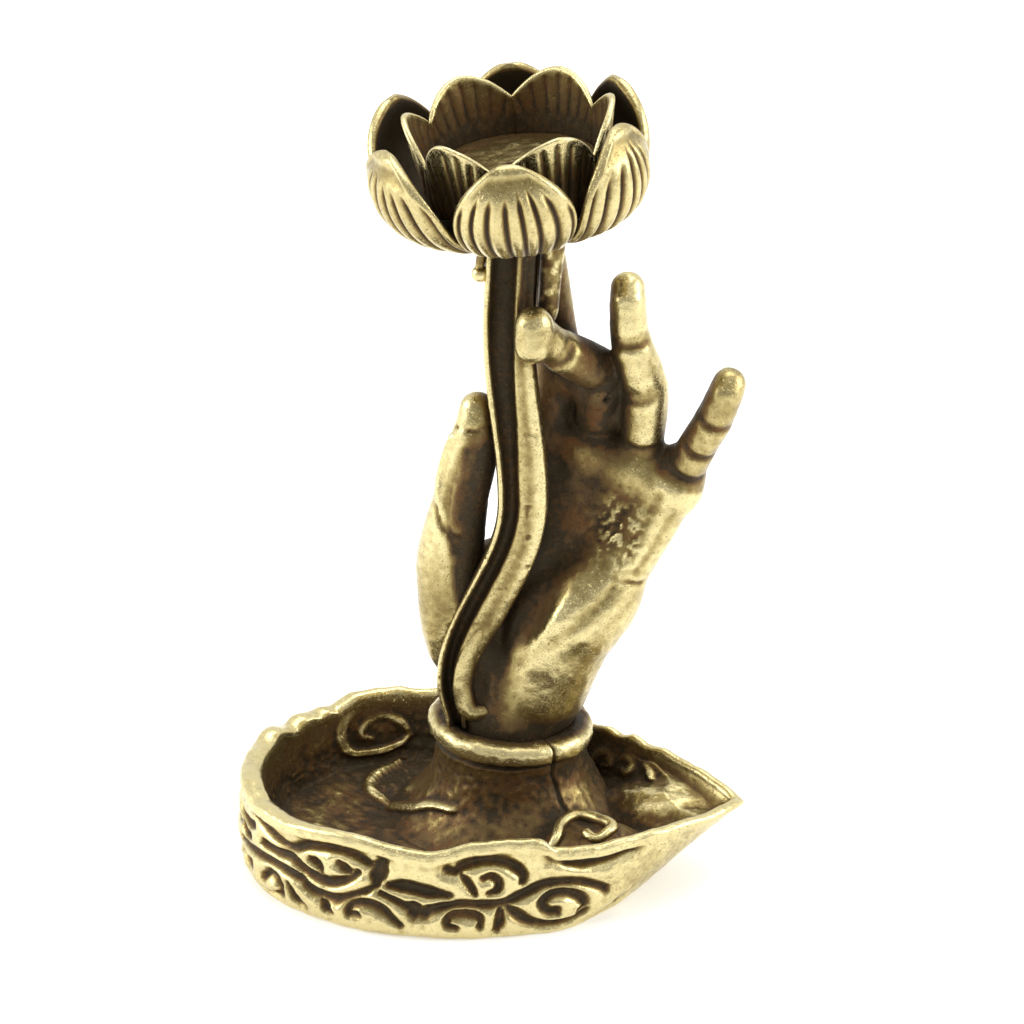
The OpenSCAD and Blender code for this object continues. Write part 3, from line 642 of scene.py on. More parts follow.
def inner_petal(n):
    """One of the six upright petals round the cup, ribbed on both faces."""
    u, v, depth, inside = petal_places()
    first, last = INNER_SPANS[n - 1]
    # The notches at 212 and 336 degrees are the deepest
    side = (np.where(v < 0, first, last) - 212) % 360
    notch = NOTCH_D + 1.3 * np.maximum(bump(side, 0, 20), bump(side, 124, 20))
    top = INNER_H - notch * np.abs(v) ** 1.75
    z = lerp(INNER_LOW, top, u)
    free = np.maximum(0, z - CUP_H)
    from_edge = (1 - u) * (top - INNER_LOW)
    furrow = fluting(v * lerp(1.35, 0.95, u), 7, 0.86) * smooth(0.25, 1.1, from_edge)
    low = smooth(CUP_H + 0.9, CUP_H + 1.9, z)
    r = cup_side(z) + GAP + 0.12 * free + 0.5 * (1 - v * v) * free / CUP_H
    r = r + (1 - depth) * INNER_T * lerp(1, 0.75, u)
    r = r + np.where(inside, 0.15 * furrow * low, -0.26 * furrow)
    # Neighbours meet below the notches between their tips
    points = turned(r, (first + last) / 2 + v * (last - first) / 2 * 1.012, z)
    points = roughened(points, 0.06, 1.5, 50, BLOOM_UP)
    edge = 0.42 * bump(from_edge, 0, 0.42)
    wear_outside = -0.42 - 0.24 * furrow + 0.48 * smooth(0.45, 0.95, u)
    wear_and_shade = np.where(inside, -0.42 - 0.12 * furrow * low, wear_outside) + edge
    add_piece(f"cast_inner_petal_{n}", f"inner_petal_{n}", "inner_petal_brass", points, wear_and_shade=wear_and_shade, grit=0.45)


def build_cup():
    """Cup with a rough golden seat and a slanted smoke hole."""
    ring = circle(around(160))
    hole = SMOKE_R * ring
    rows, wear_and_shade = [], []

    def add_row(places, z, shine):
        rows.append(raised_to(places, z))
        wear_and_shade.append(shine)

    for k in np.linspace(0, 1, 10):
        add_row(lerp(hole + GROOVE_TOP, CUP_BASE_R * ring, k), 0, -0.5)
    for z in np.linspace(0, CUP_H, 14)[1:]:
        add_row(cup_side(z) * ring, z, -0.4)
    for k in np.linspace(0, 1, 44)[1:]:
        shine = mix_at(k, (0, -0.35), (0.2, -0.2), (0.4, 0.1), (0.95, 0.02), (1, -0.5))
        add_row(lerp(CUP_R * ring, hole, k), CUP_H, shine)
    for k in np.linspace(0, 1, 14)[1:]:
        add_row(hole + GROOVE_TOP * k, CUP_H * (1 - k), -0.9)
    x, y, z = np.moveaxis(np.array(rows), -1, 0)
    points = in_bloom(x, y, z)
    on_seat = np.abs(z - CUP_H) < 1e-6
    points = points + (on_seat * (0.13 * rough(points, 1.1, 61)))[..., None] * BLOOM_UP
    add_piece("cast_lotus_cup", "lotus_cup", "cup_brass", points, wear_and_shade=np.array(wear_and_shade)[:, None], grit=1.0)


# Dish

DISH_LEN, DISH_WID, DISH_H = 48.0, 33.0, 9.0
DISH_WALL, DISH_FLOOR, FOOT_INSET, WALL_BELLY = 1.6, 2.2, 0.8, 0.9
PROW_REACH, PROW_SKEW, PROW_DIP, RIM_WAVE = 9.0, 1.0, 2.0, 0.4
LEAF_FRONT, LEAF_BACK = 0.45, 0.8
FOOT_END = DISH_LEN / 2 - PROW_REACH
FOOT_SHOULDER = DISH_LEN / 6
FLOOR_INSET = FOOT_INSET + DISH_WALL + 1
FLOOR_HEART = np.array([-1.5, 0.3])
DISH_COLS, WALL_ROWS, INNER_WALL_ROWS, FLOOR_ROWS = 580, 64, 44, 37
RELIEF = 1.05
# Place along the leaf and height of the knobs on the rim at the back right
RIM_KNOBS = ((10.2, 0.5), (12.9, 0.6), (16.0, 0.4))
RIDGE_TO_POINT = flowing([(6.5, 6.0), (10, 5.0), (13.5, 3.6), (17, 2.4), (21.5, 1.4)])
MOUND_AT, MOUND_R, MOUND_H = (9.4, -3.2), 4.6, 3.4
FLOOR_SCROLL = flowing([
    (-10.6, 13.3, DISH_FLOOR), (-11.6, 11.6, DISH_FLOOR), (-13.0, 9.3, DISH_FLOOR), (-12.9, 7.0, DISH_FLOOR),
    (-11.0, 5.1, 2.4), (-8.1, 2.0, 4.0), (-6.0, 0.9, 4.8), (-3.6, -1.1, 5.6),
])
# Furrows of the cloud scrolls on the outside of the wall. Each is half its width and a line of places:
# the run along the wall to the right of the front's middle, and the height. The back mirrors the front.
EYE_FURROWS = (
    (0.32, (-24.5, 7.6), (-21.9, 7.1), (-18.9, 6.6), (-16.8, 7.5), (-14.6, 8.0), (-11.9, 8.0), (-9.7, 7.2),
     (-8.6, 6.4)),
    (0.60, (-8.4, 7.6), (-8.8, 6.7), (-9.1, 5.2)),
    (0.34, (-9.1, 5.1), (-10.7, 4.0), (-12.7, 3.1), (-14.7, 3.1), (-16.3, 3.4), (-17.6, 4.0), (-21.8, 4.2),
     (-29, 3.4)),
    (0.38, (-23, 5.5), (-20.8, 5.5), (-18.8, 5.7), (-17, 5.0), (-15.6, 4.7), (-13.7, 4.6), (-12, 5.3),
     (-10.9, 6.2)),
    (0.33, (-16.2, 6.3), (-15.3, 6.0), (-14.8, 5.2)),
    (0.38, (-12.9, 6.7), (-12.0, 6.1), (-11.6, 5.8)),
)
ROUND_END_FURROWS = (
    (0.30, (-27.0, 1.2), (-25, 0.9), (-23.3, 0.7), (-21.2, 1.0), (-20, 1.9), (-20.3, 2.7), (-21.6, 3.0),
     (-22.8, 2.4)),
    (0.34, (-18.9, 2.8), (-18.1, 2.0), (-17, 1.6)),
    (0.34, (-14.8, 2.6), (-13.9, 1.9)),
    (0.32, (-31, 7.2), (-29, 6.2), (-26.6, 5.9), (-25, 6.4)),
    (0.30, (-33.6, 5.2), (-31.4, 4.6), (-29.4, 4.9)),
    (0.30, (-32.8, 1.4), (-31, 2.4), (-29.2, 2.2), (-29, 1.2), (-30.2, 0.9)),
    (0.32, (-33.8, 8.0), (-32, 8.1), (-30.2, 7.8)),
    (0.32, (-28.6, 5.0), (-27, 4.6), (-25.6, 4.9)),
    (0.30, (-28, 2.6), (-26.4, 2.2), (-25, 2.6)),
)
LOBE_FURROWS = (
    (0.36, (-8.6, 4.5), (-7, 3.9), (-5.6, 3.2), (-4.4, 2.95), (-3.4, 3.3), (-0.9, 3.8), (1.7, 3.7),
     (3.4, 3.8), (5, 4.6), (6.8, 5.2), (8.6, 5.25), (10.4, 5), (12.1, 4.3), (13.6, 3.5)),
    (0.50, (-6, 3.5), (-4.6, 2.9)),
    (0.45, (-7.8, 5.35), (-6.2, 5.4), (-4.5, 5.1), (-2.0, 4.65)),
    (0.36, (-2.2, 7.3), (-1.3, 7.2), (-0.4, 7.8), (1.4, 8.15), (3.1, 7.95), (4.4, 7.3), (5.1, 6.5), (5, 5.8)),
    (0.20, (-0.9, 6.9), (-0.1, 5.9), (0.5, 4.8)),
    (0.24, (1.2, 6.4), (2, 6.6), (2.7, 6), (2.6, 5.2), (1.8, 4.9)),
    (0.38, (7.8, 8.2), (9, 7.7), (10.7, 7), (12.2, 6.9), (14, 7.05), (15.6, 7.3)),
)
FOOT_FURROWS = (
    (0.32, (-10.9, 2.2), (-11.9, 2.2), (-11.5, 2.9), (-10, 3.25), (-8.3, 2.9), (-6.7, 1.8)),
    (0.30, (-1.4, 1.8), (-2.2, 2.1), (-1.8, 2.8), (-0.3, 2.95), (0.9, 2.6), (0.9, 1.9)),
    (0.32, (2.8, 3.5), (2.9, 2.5), (2.5, 1.4)),
    (0.32, (3.8, 4.3), (3.5, 3.4), (4.6, 2.6), (6.3, 1.7), (8.2, 1.35), (10.2, 1.5), (11.8, 2.1)),
    (0.34, (8.4, 2.6), (7.4, 2.7), (6.95, 3.4), (7.7, 4.15), (9.1, 4.2), (10.5, 3.6), (11.5, 2.7),
     (10.9, 2.2)),
    (0.14, (10.7, 0.5), (13.9, 0.9), (15.8, 1.9)),
)
# Raised scrolls on the inside of the wall: angle and height share of a place on it, then each line's
# half width and its places to the right of and above that place
INNER_SCROLLS = (
    (130, 0.66, (
        (0.6, (4.1, -1.0), (2.4, -2.0), (0.2, -2.3), (-2.2, -1.5), (-3.1, 0.6), (-2.2, 2.3), (0, 2.9)),
        (0.45, (4.1, -1.0), (3.2, 0.5), (1.4, 1.5), (-0.4, 1.1), (-0.9, 0.1), (0.2, -0.5)),
    )),
    (58, 0.7, (
        (0.55, (-3.2, -1.2), (-2.6, 0.6), (-1.5, 0.9), (-0.9, -0.2), (-1.7, -0.5)),
        (0.55, (-0.3, 0.3), (0.6, 1.1), (1.6, 0.5), (1.4, -0.5), (0.8, -0.3)),
        (0.5, (2.2, 0.4), (3.1, 0.9), (4.2, 0.2), (4.9, -0.6)),
    )),
)


def leaf_edge(t, sharp):
    return np.sin(t) * np.abs(np.sin(t / 2)) ** sharp


def leaf(t, along, across):
    """The leaf outline at angle t, set in by a distance along and across."""
    half = DISH_LEN / 2
    turn = np.radians(np.arange(181))
    peak_back, peak_front = leaf_edge(turn, LEAF_BACK).max(), leaf_edge(turn, LEAF_FRONT).max()
    x = (half - along) * np.cos(t)
    share = np.where(t < math.pi, leaf_edge(t, LEAF_BACK) / peak_back, leaf_edge(t, LEAF_FRONT) / peak_front)
    y = (DISH_WID / 2 - across) * share
    return np.stack([x, y + PROW_SKEW * ((x + half) / DISH_LEN) ** 4], -1)


def prow(t):
    return np.abs(np.cos(t / 2)) ** 10


def rim_z(t):
    return DISH_H - PROW_DIP * prow(t) + RIM_WAVE * np.cos(9 * t) * (1 - prow(t))


def drawn_in(p, end):
    """The same outline with the part beyond the shoulder drawn in to this end."""
    x = p[..., 0]
    t = (x - FOOT_SHOULDER) / (DISH_LEN / 2 - FOOT_SHOULDER)
    return np.stack([np.where(x < FOOT_SHOULDER, x, lerp(FOOT_SHOULDER, end, t)), p[..., 1]], -1)


def wall_point(low, high, z0, w, t, belly):
    """Points of the wall between its lower outline and the rim, at shares w of its height."""
    out, up = w ** lerp(0.5, 1, prow(t)), w ** lerp(1.5, 1, prow(t))
    swell = belly * (1 - prow(t)) * np.sin(math.pi * w**0.7)
    p = lerp(low, high, out[..., None]) + swell[..., None] * circle(t)
    return raised_to(p, lerp(z0, rim_z(t), up))


def wall_outside(t, w):
    low = drawn_in(leaf(t, FOOT_INSET, FOOT_INSET), FOOT_END)
    return wall_point(low, leaf(t, 0, 0), 0, w, t, WALL_BELLY)


def wall_inside(t, w):
    low = drawn_in(leaf(t, FLOOR_INSET, FLOOR_INSET), FOOT_END - DISH_WALL)
    return wall_point(low, leaf(t, 1.5 * DISH_WALL, DISH_WALL), DISH_FLOOR, w, t, 0)


def rim_height(run):
    """Height of the wavy rim, with the lobe that ends beside the prow."""
    return mix_at(
        run, (-34, 8.8), (-29, 9.0), (-25.6, 8.5), (-21.8, 8.6), (-17.6, 8.9), (-14, 9.35), (-11.5, 9.4),
        (-9.2, 9.1), (-6.4, 8.7), (-4, 8.4), (-2.3, 8.8), (0, 9.45), (3, 9.7), (6.4, 9.5), (7.3, 9.1),
        (8.0, 8.3), (9.5, 8.1), (12, 7.95), (16, 7.9), (21, 7.9), (28.6, 7.0))


def dish_columns():
    """Angles of the dish's columns, evenly spaced along the wall, and their runs from the front's middle."""
    fine = np.linspace(0, 2 * math.pi, 4001)
    path = wall_outside(fine, np.full_like(fine, 0.6))[:, :2]
    run = np.concatenate([[0], np.cumsum(np.linalg.norm(np.diff(path, axis=0), axis=1))])
    t = np.interp(np.arange(DISH_COLS) * run[-1] / DISH_COLS, run, fine)
    on_front = np.where(t < math.pi, 2 * math.pi - t, t)
    return t, np.interp(on_front, fine, run) - np.interp(1.5 * math.pi, fine, run)


def rim_rise(t, run):
    """How far the modelled rim lies above the plain one: its waves, its knobs, and lumps at the back left."""
    rise = rim_height(run) - rim_z(t)
    for _ in range(3):
        rise = (np.roll(rise, 1) + rise + np.roll(rise, -1)) / 3
    x = leaf(t, 0, 0)[:, 0]
    for knob_x, size in RIM_KNOBS:
        rise += size * bump(x, knob_x, 1.1) * (t < math.pi)
    back_left = smooth(5, -2, x) * smooth(math.pi, math.pi - 0.3, t)
    rise += (0.3 * np.sin(0.66 * run) + 0.18 * np.sin(1.12 * run + 2)) * back_left
    return rise + 0.3 * lumps(wall_outside(t, np.ones_like(t)), 1.7, 77) * (0.3 + back_left)


def scrolled_wall(t, run, rise):
    """Outside of the wall with its furrows pressed in, and its wear."""
    w = np.linspace(0, 1, WALL_ROWS)[:, None]
    t_grid = np.broadcast_to(t, (WALL_ROWS, DISH_COLS))
    wall = wall_outside(t_grid, np.broadcast_to(w, t_grid.shape))
    wall[..., 2] += rise * w**2
    z = wall[..., 2]
    # The lowest scrolls reach down to the foot
    place = np.stack([np.broadcast_to(run, t_grid.shape), z + 0.6 * smooth(3.6, 1.0, z)], -1)
    sunk, beside = np.zeros(t_grid.shape), np.zeros(t_grid.shape)
    for half_width, *places in EYE_FURROWS + ROUND_END_FURROWS + LOBE_FURROWS + FOOT_FURROWS:
        line, wide = flowing(places), 1.3 * half_width
        sunk = np.maximum(sunk, ridge(place, line, wide, edge=0.40, taper=0.45))
        beside = np.maximum(beside, ridge(place, line, wide + 0.4, edge=1.0, taper=0.3))
    below_rim = rim_z(t) + rise - z
    sunk = (0.55 * sunk + 0.45 * beside) * smooth(0.5, 0.9, below_rim) * smooth(0.15, 0.5, z)
    roll = bump(below_rim, 0.3, 0.5) * (1 - smooth(9, 15, run))
    grain = 0.10 * rough(wall, 2.4, 71) + 0.04 * lumps(wall, 0.5, 72)
    wall = wall + (grain + 0.12 + 0.16 * roll - RELIEF * sunk)[..., None] * grid_normals(wall)
    wall[0, :, 2] = 0
    wall[..., 2] = np.maximum(wall[..., 2], 0)
    return wall, lerp(-0.30, 0.13, smooth(0.0, 0.75, 1 - sunk)) + 0.1 * roll


def plain_inside(t, rise):
    """Inside of the wall, thinner at the rim than at its foot, and the flat floor."""
    w = np.linspace(1, 0, INNER_WALL_ROWS)[:, None]
    t_grid = np.broadcast_to(t, (INNER_WALL_ROWS, DISH_COLS))
    wall = wall_inside(t_grid, np.broadcast_to(w, t_grid.shape))
    thin = (0.44 - 0.2 * smooth(-12, -20, leaf(t, 0, 0)[:, 0])) * w**2
    wall[..., :2] = lerp(wall[..., :2], leaf(t_grid, 0, 0), thin[..., None])
    wall[..., 2] += rise * w**2
    shrink = np.linspace(1, 0, FLOOR_ROWS + 1)[1:, None, None]
    floor = lerp(FLOOR_HEART, wall[-1, :, :2], shrink)
    return np.concatenate([wall, raised_to(floor, DISH_FLOOR)])


def inside_scrolls():
    """Raised lines on the inside of the wall and on the floor, with their half widths."""
    d = 0.02
    scrolls = [(FLOOR_SCROLL, 0.55)]
    for degrees, w, lines in INNER_SCROLLS:
        t = math.radians(degrees)
        trio = ((t, w), (t + d, w), (t, w + d))
        at, aside, above = (wall_inside(np.array(angle), np.array(share)) for angle, share in trio)
        left, up = unit(aside - at), unit(above - at)
        for half_width, *places in lines:
            line = flowing(places)
            scrolls.append((at - line[:, :1] * left + line[:, 1:] * up, half_width))
    return scrolls


def mound_height(places):
    """Height above the dish floor of the mound that carries the volute."""
    return MOUND_H * np.exp(-((np.linalg.norm(places - np.array(MOUND_AT), axis=-1) / MOUND_R) ** 4))


def modelled_inside(t, rise):
    """Inside of the dish with its scrolls, the ridge to the point and the volute's mound, and its wear."""
    inner = plain_inside(t, rise)
    x, y, z = np.moveaxis(inner, -1, 0)
    share_in = np.linspace(0, 1, len(inner))
    scrolls = [ridge(inner, line, wide, edge=0.2, taper=0.4) for line, wide in inside_scrolls()]
    scroll = np.max(scrolls, axis=0)
    room = np.maximum(0, rim_z(t) + rise - 0.9 - z)
    away, share = near_line(inner[..., :2], RIDGE_TO_POINT, 5)
    hump = 3.0 * np.exp(-((away / 2.7) ** 2)) * (1 - 0.4 * share)
    hump = np.minimum(hump, room) * smooth(6.5, 10, x)
    from_heart = np.hypot(x - FLOOR_HEART[0], (y - FLOOR_HEART[1]) * 1.4)
    round_floor = 0.9 * smooth(3.0, 0.0, z - DISH_FLOOR) * smooth(10, 20, from_heart)
    grain = 0.24 * rough(inner, 2.0, 75) + 0.09 * lumps(inner, 0.5, 76)
    normal = grid_normals(inner)
    normal[INNER_WALL_ROWS + 1:] = UP
    normal *= np.where(normal[..., 2:] < 0, -1, 1)
    free = smooth(0, 0.25, share_in)[:, None]
    points = inner + ((0.5 * scroll + grain) * free)[..., None] * normal
    mound = np.minimum(mound_height(points[..., :2]), room)
    points[..., 2] += np.maximum(hump, mound) + round_floor * free
    wear_and_shade = lerp(-0.36, 0.14, scroll) + 0.7 * grain + 0.16 * smooth(3.0, 5.0, points[..., 2])
    wear_and_shade += 0.36 * smooth(0.5, 1.8, hump) + 0.22 * smooth(8, 13, x) - 0.34 * smooth(1.0, 2.8, mound)
    return points, wear_and_shade + 0.3 * (1 - smooth(0, 0.05, share_in))[:, None]


def foot_rings(edge):
    """Underside from its middle to the edge of the foot, a little hollow."""
    levels = ((0, 0.4), (0.5, 0.4), (0.84, 0.4), (0.88, 0), (0.96, 0))
    return np.array([raised_to(share * edge[:, :2], height) for share, height in levels])


def build_dish():
    """Leaf-shaped dish: scrolled wall, rounded wavy rim, and rough floor with scrolls and a ridge."""
    t, run = dish_columns()
    rise = rim_rise(t, run)
    outside, outside_wear = scrolled_wall(t, run, rise)
    inside, inside_wear = modelled_inside(t, rise)
    turn = np.linspace(0, math.pi, 11)[1:-1, None, None]
    rim = lerp(outside[-1], inside[0], (1 - np.cos(turn)) / 2)
    rim[..., 2] += 0.55 * np.sin(turn[..., 0]) + 0.05 * lumps(rim, 0.7, 78)
    parts = (
        (foot_rings(outside[0]), -0.2, 0.6),
        (outside, outside_wear, 0.3 + 0.7 * smooth(12, 16, run)),
        (rim, 0.26, 0.4),
        (inside, inside_wear, 1.0),
    )
    points = np.concatenate([part for part, _, _ in parts])
    wear_and_shade = np.concatenate([np.broadcast_to(shine, part.shape[:2]) for part, shine, _ in parts])
    grit = np.concatenate([np.broadcast_to(coarse, part.shape[:2]) for part, _, coarse in parts])
    add_piece("cast_dish", "dish", "dish_brass", points, wear_and_shade=wear_and_shade, grit=grit)


def build_volute():
    """Raised curl on the mound beside the neck."""
    line = flowing([
        (5.8, -6.4), (6.7, -5.0), (6.9, -3.2), (7.6, -1.8), (8.6, -1.2), (9.9, -1.7),
        (11.3, -2.9), (11.9, -3.9), (11.3, -5.0), (10.6, -5.5), (9.9, -5.3), (9.3, -4.5),
    ])
    high = DISH_FLOOR + 0.3 + mound_height(line) + 0.45 * smooth(10.2, 12.0, line[:, 0])
    line = raised_to(line, high)
    t = np.linspace(0, 1, len(line))
    radii = mix_at(t, (0, 0.02), (0.05, 0.5), (0.3, 0.64), (0.8, 0.58), (0.97, 0.5), (1, 0.02))
    points = roughened(tube(line, radii, 16, flat_along=UP), 0.05, 0.9, 79, UP)
    add_piece("cast_volute", "dish", "dish_brass", points, wear_and_shade=0.24, grit=0.4)


# Neck and collar

NECK_R, NECK_SPREAD, NECK_RIGHT = 7.2, 5.6, 2.2
COLLAR_LEAN = 0.06
WRIST_R = 5.4
# Angles round the wrist of the seam's crack, on the collar and on the neck
CRACK_TOP, CRACK_LOW = math.radians(-52), math.radians(-45)
SCROLL_KNOB = np.array([-8.8, 5.8, 3.9])


def half_turn(angle):
    """The same angle between minus and plus half a turn."""
    return (angle + math.pi) % (2 * math.pi) - math.pi


def crack_at(angle, z):
    """How deep the seam's crack is at a place round the wrist, 0 to 1."""
    middle = mix_at(z, (4.6, CRACK_LOW), (12.8, CRACK_TOP)) + 0.012 * np.sin(z * 2.7)
    off = np.abs(half_turn(angle - middle)) * COLLAR_R
    return np.exp(-((off / 0.13) ** 2)) * smooth(4.2, 5.4, z)


def build_neck():
    """Neck between the dish floor and the collar, with a cracked seam."""
    rows, cols = 44, 260
    t = np.linspace(0, 1, rows)[:, None]
    a = np.broadcast_to(around(cols), (rows, cols))
    z = np.broadcast_to(lerp(DISH_FLOOR - 0.5, SEAT[2] + GAP, t), a.shape)
    r = NECK_R + NECK_SPREAD * (1 - t) ** 2.6 + NECK_RIGHT * (1 - t) ** 2.2 * smooth(0.2, 0.9, np.cos(a))
    # It never comes out through the wall of the dish
    edge = wall_inside(around(720), np.zeros(720))[:, :2] - SEAT[:2]
    way = np.arctan2(edge[:, 1], edge[:, 0])
    r = np.minimum(r, np.interp(a, way, np.hypot(*edge.T), period=2 * math.pi) + 0.3)
    points = raised_to(SEAT[:2] + r[..., None] * circle(a), z)
    cracked = crack_at(a, z)
    lump = 0.22 * rough(points, 2.2, 81) + 0.08 * lumps(points, 0.5, 82)
    scroll = ridge(points, FLOOR_SCROLL, 0.55, edge=0.25, taper=0.4)
    scroll = np.maximum(scroll, spot(points, SCROLL_KNOB, 1, 0.7))
    out = raised_to(circle(a), 0)
    points = held_at_ends(points + (lump - 0.5 * cracked + 0.5 * scroll)[..., None] * out)
    for end in (0, -1):
        points[end] = [*SEAT[:2], z[end, 0]]
    # Worn on both sides of the crack, most at its right
    off = half_turn(a - CRACK_LOW)
    patch = smooth(-0.02, 0.05, off) * smooth(1.2, 0.4, off) + 0.5 * bump(off, -0.35, 0.3)
    wear_and_shade = -0.34 - 0.5 * cracked + 0.5 * patch * (1 - smooth(6.5, 9.5, z)) + 0.45 * scroll
    add_piece("cast_neck", "dish", "dish_brass", points, wear_and_shade=held_at_ends(wear_and_shade), grit=0.6)


def build_collar():
    """Rounded ring round the wrist, worn bright and cracked at the seam."""

    def squared(x):
        return (1 + np.sign(x) * np.abs(x) ** 0.85) / 2

    a, b = np.meshgrid(around(300), around(40), indexing="ij")
    bore, low = WRIST_R + GAP, SEAT[2] + GAP
    r = lerp(bore, COLLAR_R, squared(np.cos(b)))
    z = lerp(low + 0.35, low + COLLAR_H, squared(np.sin(b)))
    cracked = crack_at(a, z)
    # It leans down to the right
    leaning = z - COLLAR_LEAN * r * np.cos(a)
    points = raised_to(SEAT[:2] + r[..., None] * circle(a), leaning)
    out = raised_to(np.cos(b)[..., None] * circle(a), np.sin(b))
    lump = 0.22 * rough(points, 2.6, 91) + 0.05 * lumps(points, 0.5, 92)
    points = points + (lump - 0.42 * cracked)[..., None] * out
    wear_and_shade = 0.08 - 0.6 * cracked - 0.2 * smooth(0.2, -0.6, np.cos(b))
    points, wear_and_shade = rejoined(points), rejoined(wear_and_shade)
    add_piece("cast_wrist_collar", "wrist_collar", "collar_brass", points, wear_and_shade=wear_and_shade, grit=0.7)


# Hand

LEAN = math.radians(18)
PALM_UP = np.array([math.sin(LEAN), 0, math.cos(LEAN)])
PALM_RIGHT = np.array([math.cos(LEAN), 0, -math.sin(LEAN)])
PALM_LEN = 28
KNUCKLE_PITCH = 4.4
KNUCKLE_DEPTH = (1.8, 1.4, 0.5, -0.9)
FINGER_R, FINGERTIP_R = 2.2, 1.75
WRIST = SEAT + [1.2, 0.5, 4.8]


def in_palm(across, depth, up):
    return WRIST + across * PALM_RIGHT + [0, depth, 0] + up * PALM_UP


def knuckle(n):
    return in_palm((n - 1.5) * KNUCKLE_PITCH, KNUCKLE_DEPTH[n], PALM_LEN)


def places_from(start, *steps):
    return [start + np.array(step) for step in steps]


# Joints and radii of the digits
index_lean, index_curl = math.radians(5), math.radians(2)
index_bone = 6.6 * np.array([
    math.sin(index_lean) * math.cos(index_curl),
    -math.sin(index_curl),
    math.cos(index_lean) * math.cos(index_curl),
])
index_finger = [knuckle(0), knuckle(0) + index_bone, BLOOM_BASE + [1.6, 3, -FINGERTIP_R - 0.4]]
middle_finger = places_from(knuckle(1), (0, 0, 0), (0.9, -1.9, 6.3), (-3.3, -5.7, 10.3), (-4.9, -7.1, 12.7))
ring_finger = places_from(knuckle(2), (0.4, -0.2, 0.6), (0.75, -1.6, 6.8), (-0.75, -2.0, 12),
                          (-1.0, -1.7, 16.5))
little_finger = places_from(knuckle(3), (0.4, 0, 0.2), (1.8, -0.6, 3.2), (3.2, -1.1, 6.0), (4.4, -1.2, 9.2))
DIGITS = (
    (middle_finger, (2.25, 2.15, 2.0, 1.75)),
    (ring_finger, (2.2, 2.3, 2.0, 1.75)),
    (little_finger, (2.05, 1.95, 1.9, 1.7)),
)
thumb_root = in_palm(-7.1, -1, 3.6)
thumb = places_from(thumb_root, (0, 0, 0), (-1.1, -0.9, 8.0), (-0.7, -1.5, 12.0), (0.2, -2.0, 16.4),
                    (0.95, -2.3, 19.6), (1.55, -2.4, 22.6), (1.65, -2.3, 25.0))
THUMB_RADII = (3.5, 3.15, 2.8, 2.4, 2.3, 2.05, 1.5)
# Fold of skin down the thumb's front, hooked at its lower end
thumb_fold = places_from(thumb_root, (-0.6, -3.1, 22.3), (-1.15, -2.95, 20.4), (-1.6, -2.8, 18.6),
                         (-1.7, -3.2, 17.1), (-1.4, -3.55, 15.7), (-0.9, -3.85, 14.3), (-0.2, -4.1, 13.4))
THUMB_FOLD_RADII = (0.4, 0.5, 0.55, 0.6, 0.62, 0.62, 0.55)
# Outline of a nail, across and along its finger, in fingertip radii
NAIL = ((0.72, 0.5), (0.74, -0.6), (0.4, -1.15), (-0.4, -1.15), (-0.74, -0.6), (-0.72, 0.5))
# Lines of the palm: width, depth and places
PALM_LINES = (
    # Heel: two soft folds up it, a crease from its edge, and the wrist line
    (0.8, 0.24, (-1.6, -5.0, 5.4), (2.0, -5.9, 11.0), (4.6, -5.0, 15.4)),
    (0.7, 0.10, (0.6, -4.8, 3.6), (3.8, -5.3, 9.6), (6.4, -4.0, 14.0)),
    (0.2, 0.30, (6.8, -2.6, 16.2), (4.8, -4.4, 16.5), (2.8, -5.0, 16.8)),
    (0.2, 0.10, (5.2, -2.4, 5.8), (3.5, -4.4, 5.3), (1.3, -5.2, 5.8)),
    # Folds under the little finger, and from the middle of the palm to its edge
    (0.6, 0.20, (5.6, -3.0, 25.5), (5.0, -3.4, 22), (4.6, -3.6, 18.5)),
    (0.55, 0.16, (7.2, -2.6, 24.5), (6.8, -3.0, 21), (6.0, -3.4, 17.5)),
    (0.35, 0.35, (1.0, -1.8, 17.0), (2.6, -3.6, 15.2), (4.4, -4.2, 15.6)),
)


def mould_palm(clay):
    """Wrist, palm, its cushions, and the web to the thumb."""
    clay.add(SEAT, SEAT + [0.1, 0, COLLAR_H + 0.4], WRIST_R, WRIST_R - 0.1, 1)
    clay.add(WRIST + [1.6, 0, 0], WRIST + [-1.6, 0, 0], 3.8, 4.2, 1.8)
    for n in range(4):
        clay.add(WRIST + [1, 0.8, 2], knuckle(n) - 2 * PALM_UP, 3.6, 2.4, 2.0)
    for n in range(3):
        clay.add(knuckle(n) - 2 * PALM_UP, knuckle(n + 1) - 2 * PALM_UP, 2.3, 2.3, 1.5)
    below_little = knuckle(3) - 6 * PALM_UP - 0.8 * PALM_RIGHT
    clay.add_chain([WRIST + [2.0, -0.3, 1.4], in_palm(1.8, -1.2, 10.5), below_little], (3.6, 4.6, 1.9), 1.6)
    heel = [SEAT + [2.5, -0.9, 7.2], SEAT + [4.2, -1.0, 12.2], in_palm(3.4, -1.2, 13)]
    clay.add_chain(heel, (3.7, 3.9, 3.9), 1.6)
    clay.add(SEAT + [3.3, -0.9, 6.4], SEAT + [4.4, -1.0, 9.5], 3.9, 4.0, 1.6)
    web = [thumb_root + [1, 1.5, 0], thumb[1] + [2, 2, -1], in_palm(-3.5, 1, 14)]
    clay.add_chain([*web, web[0]], (2.7, 2.2, 2.8, 2.7), 1.4)


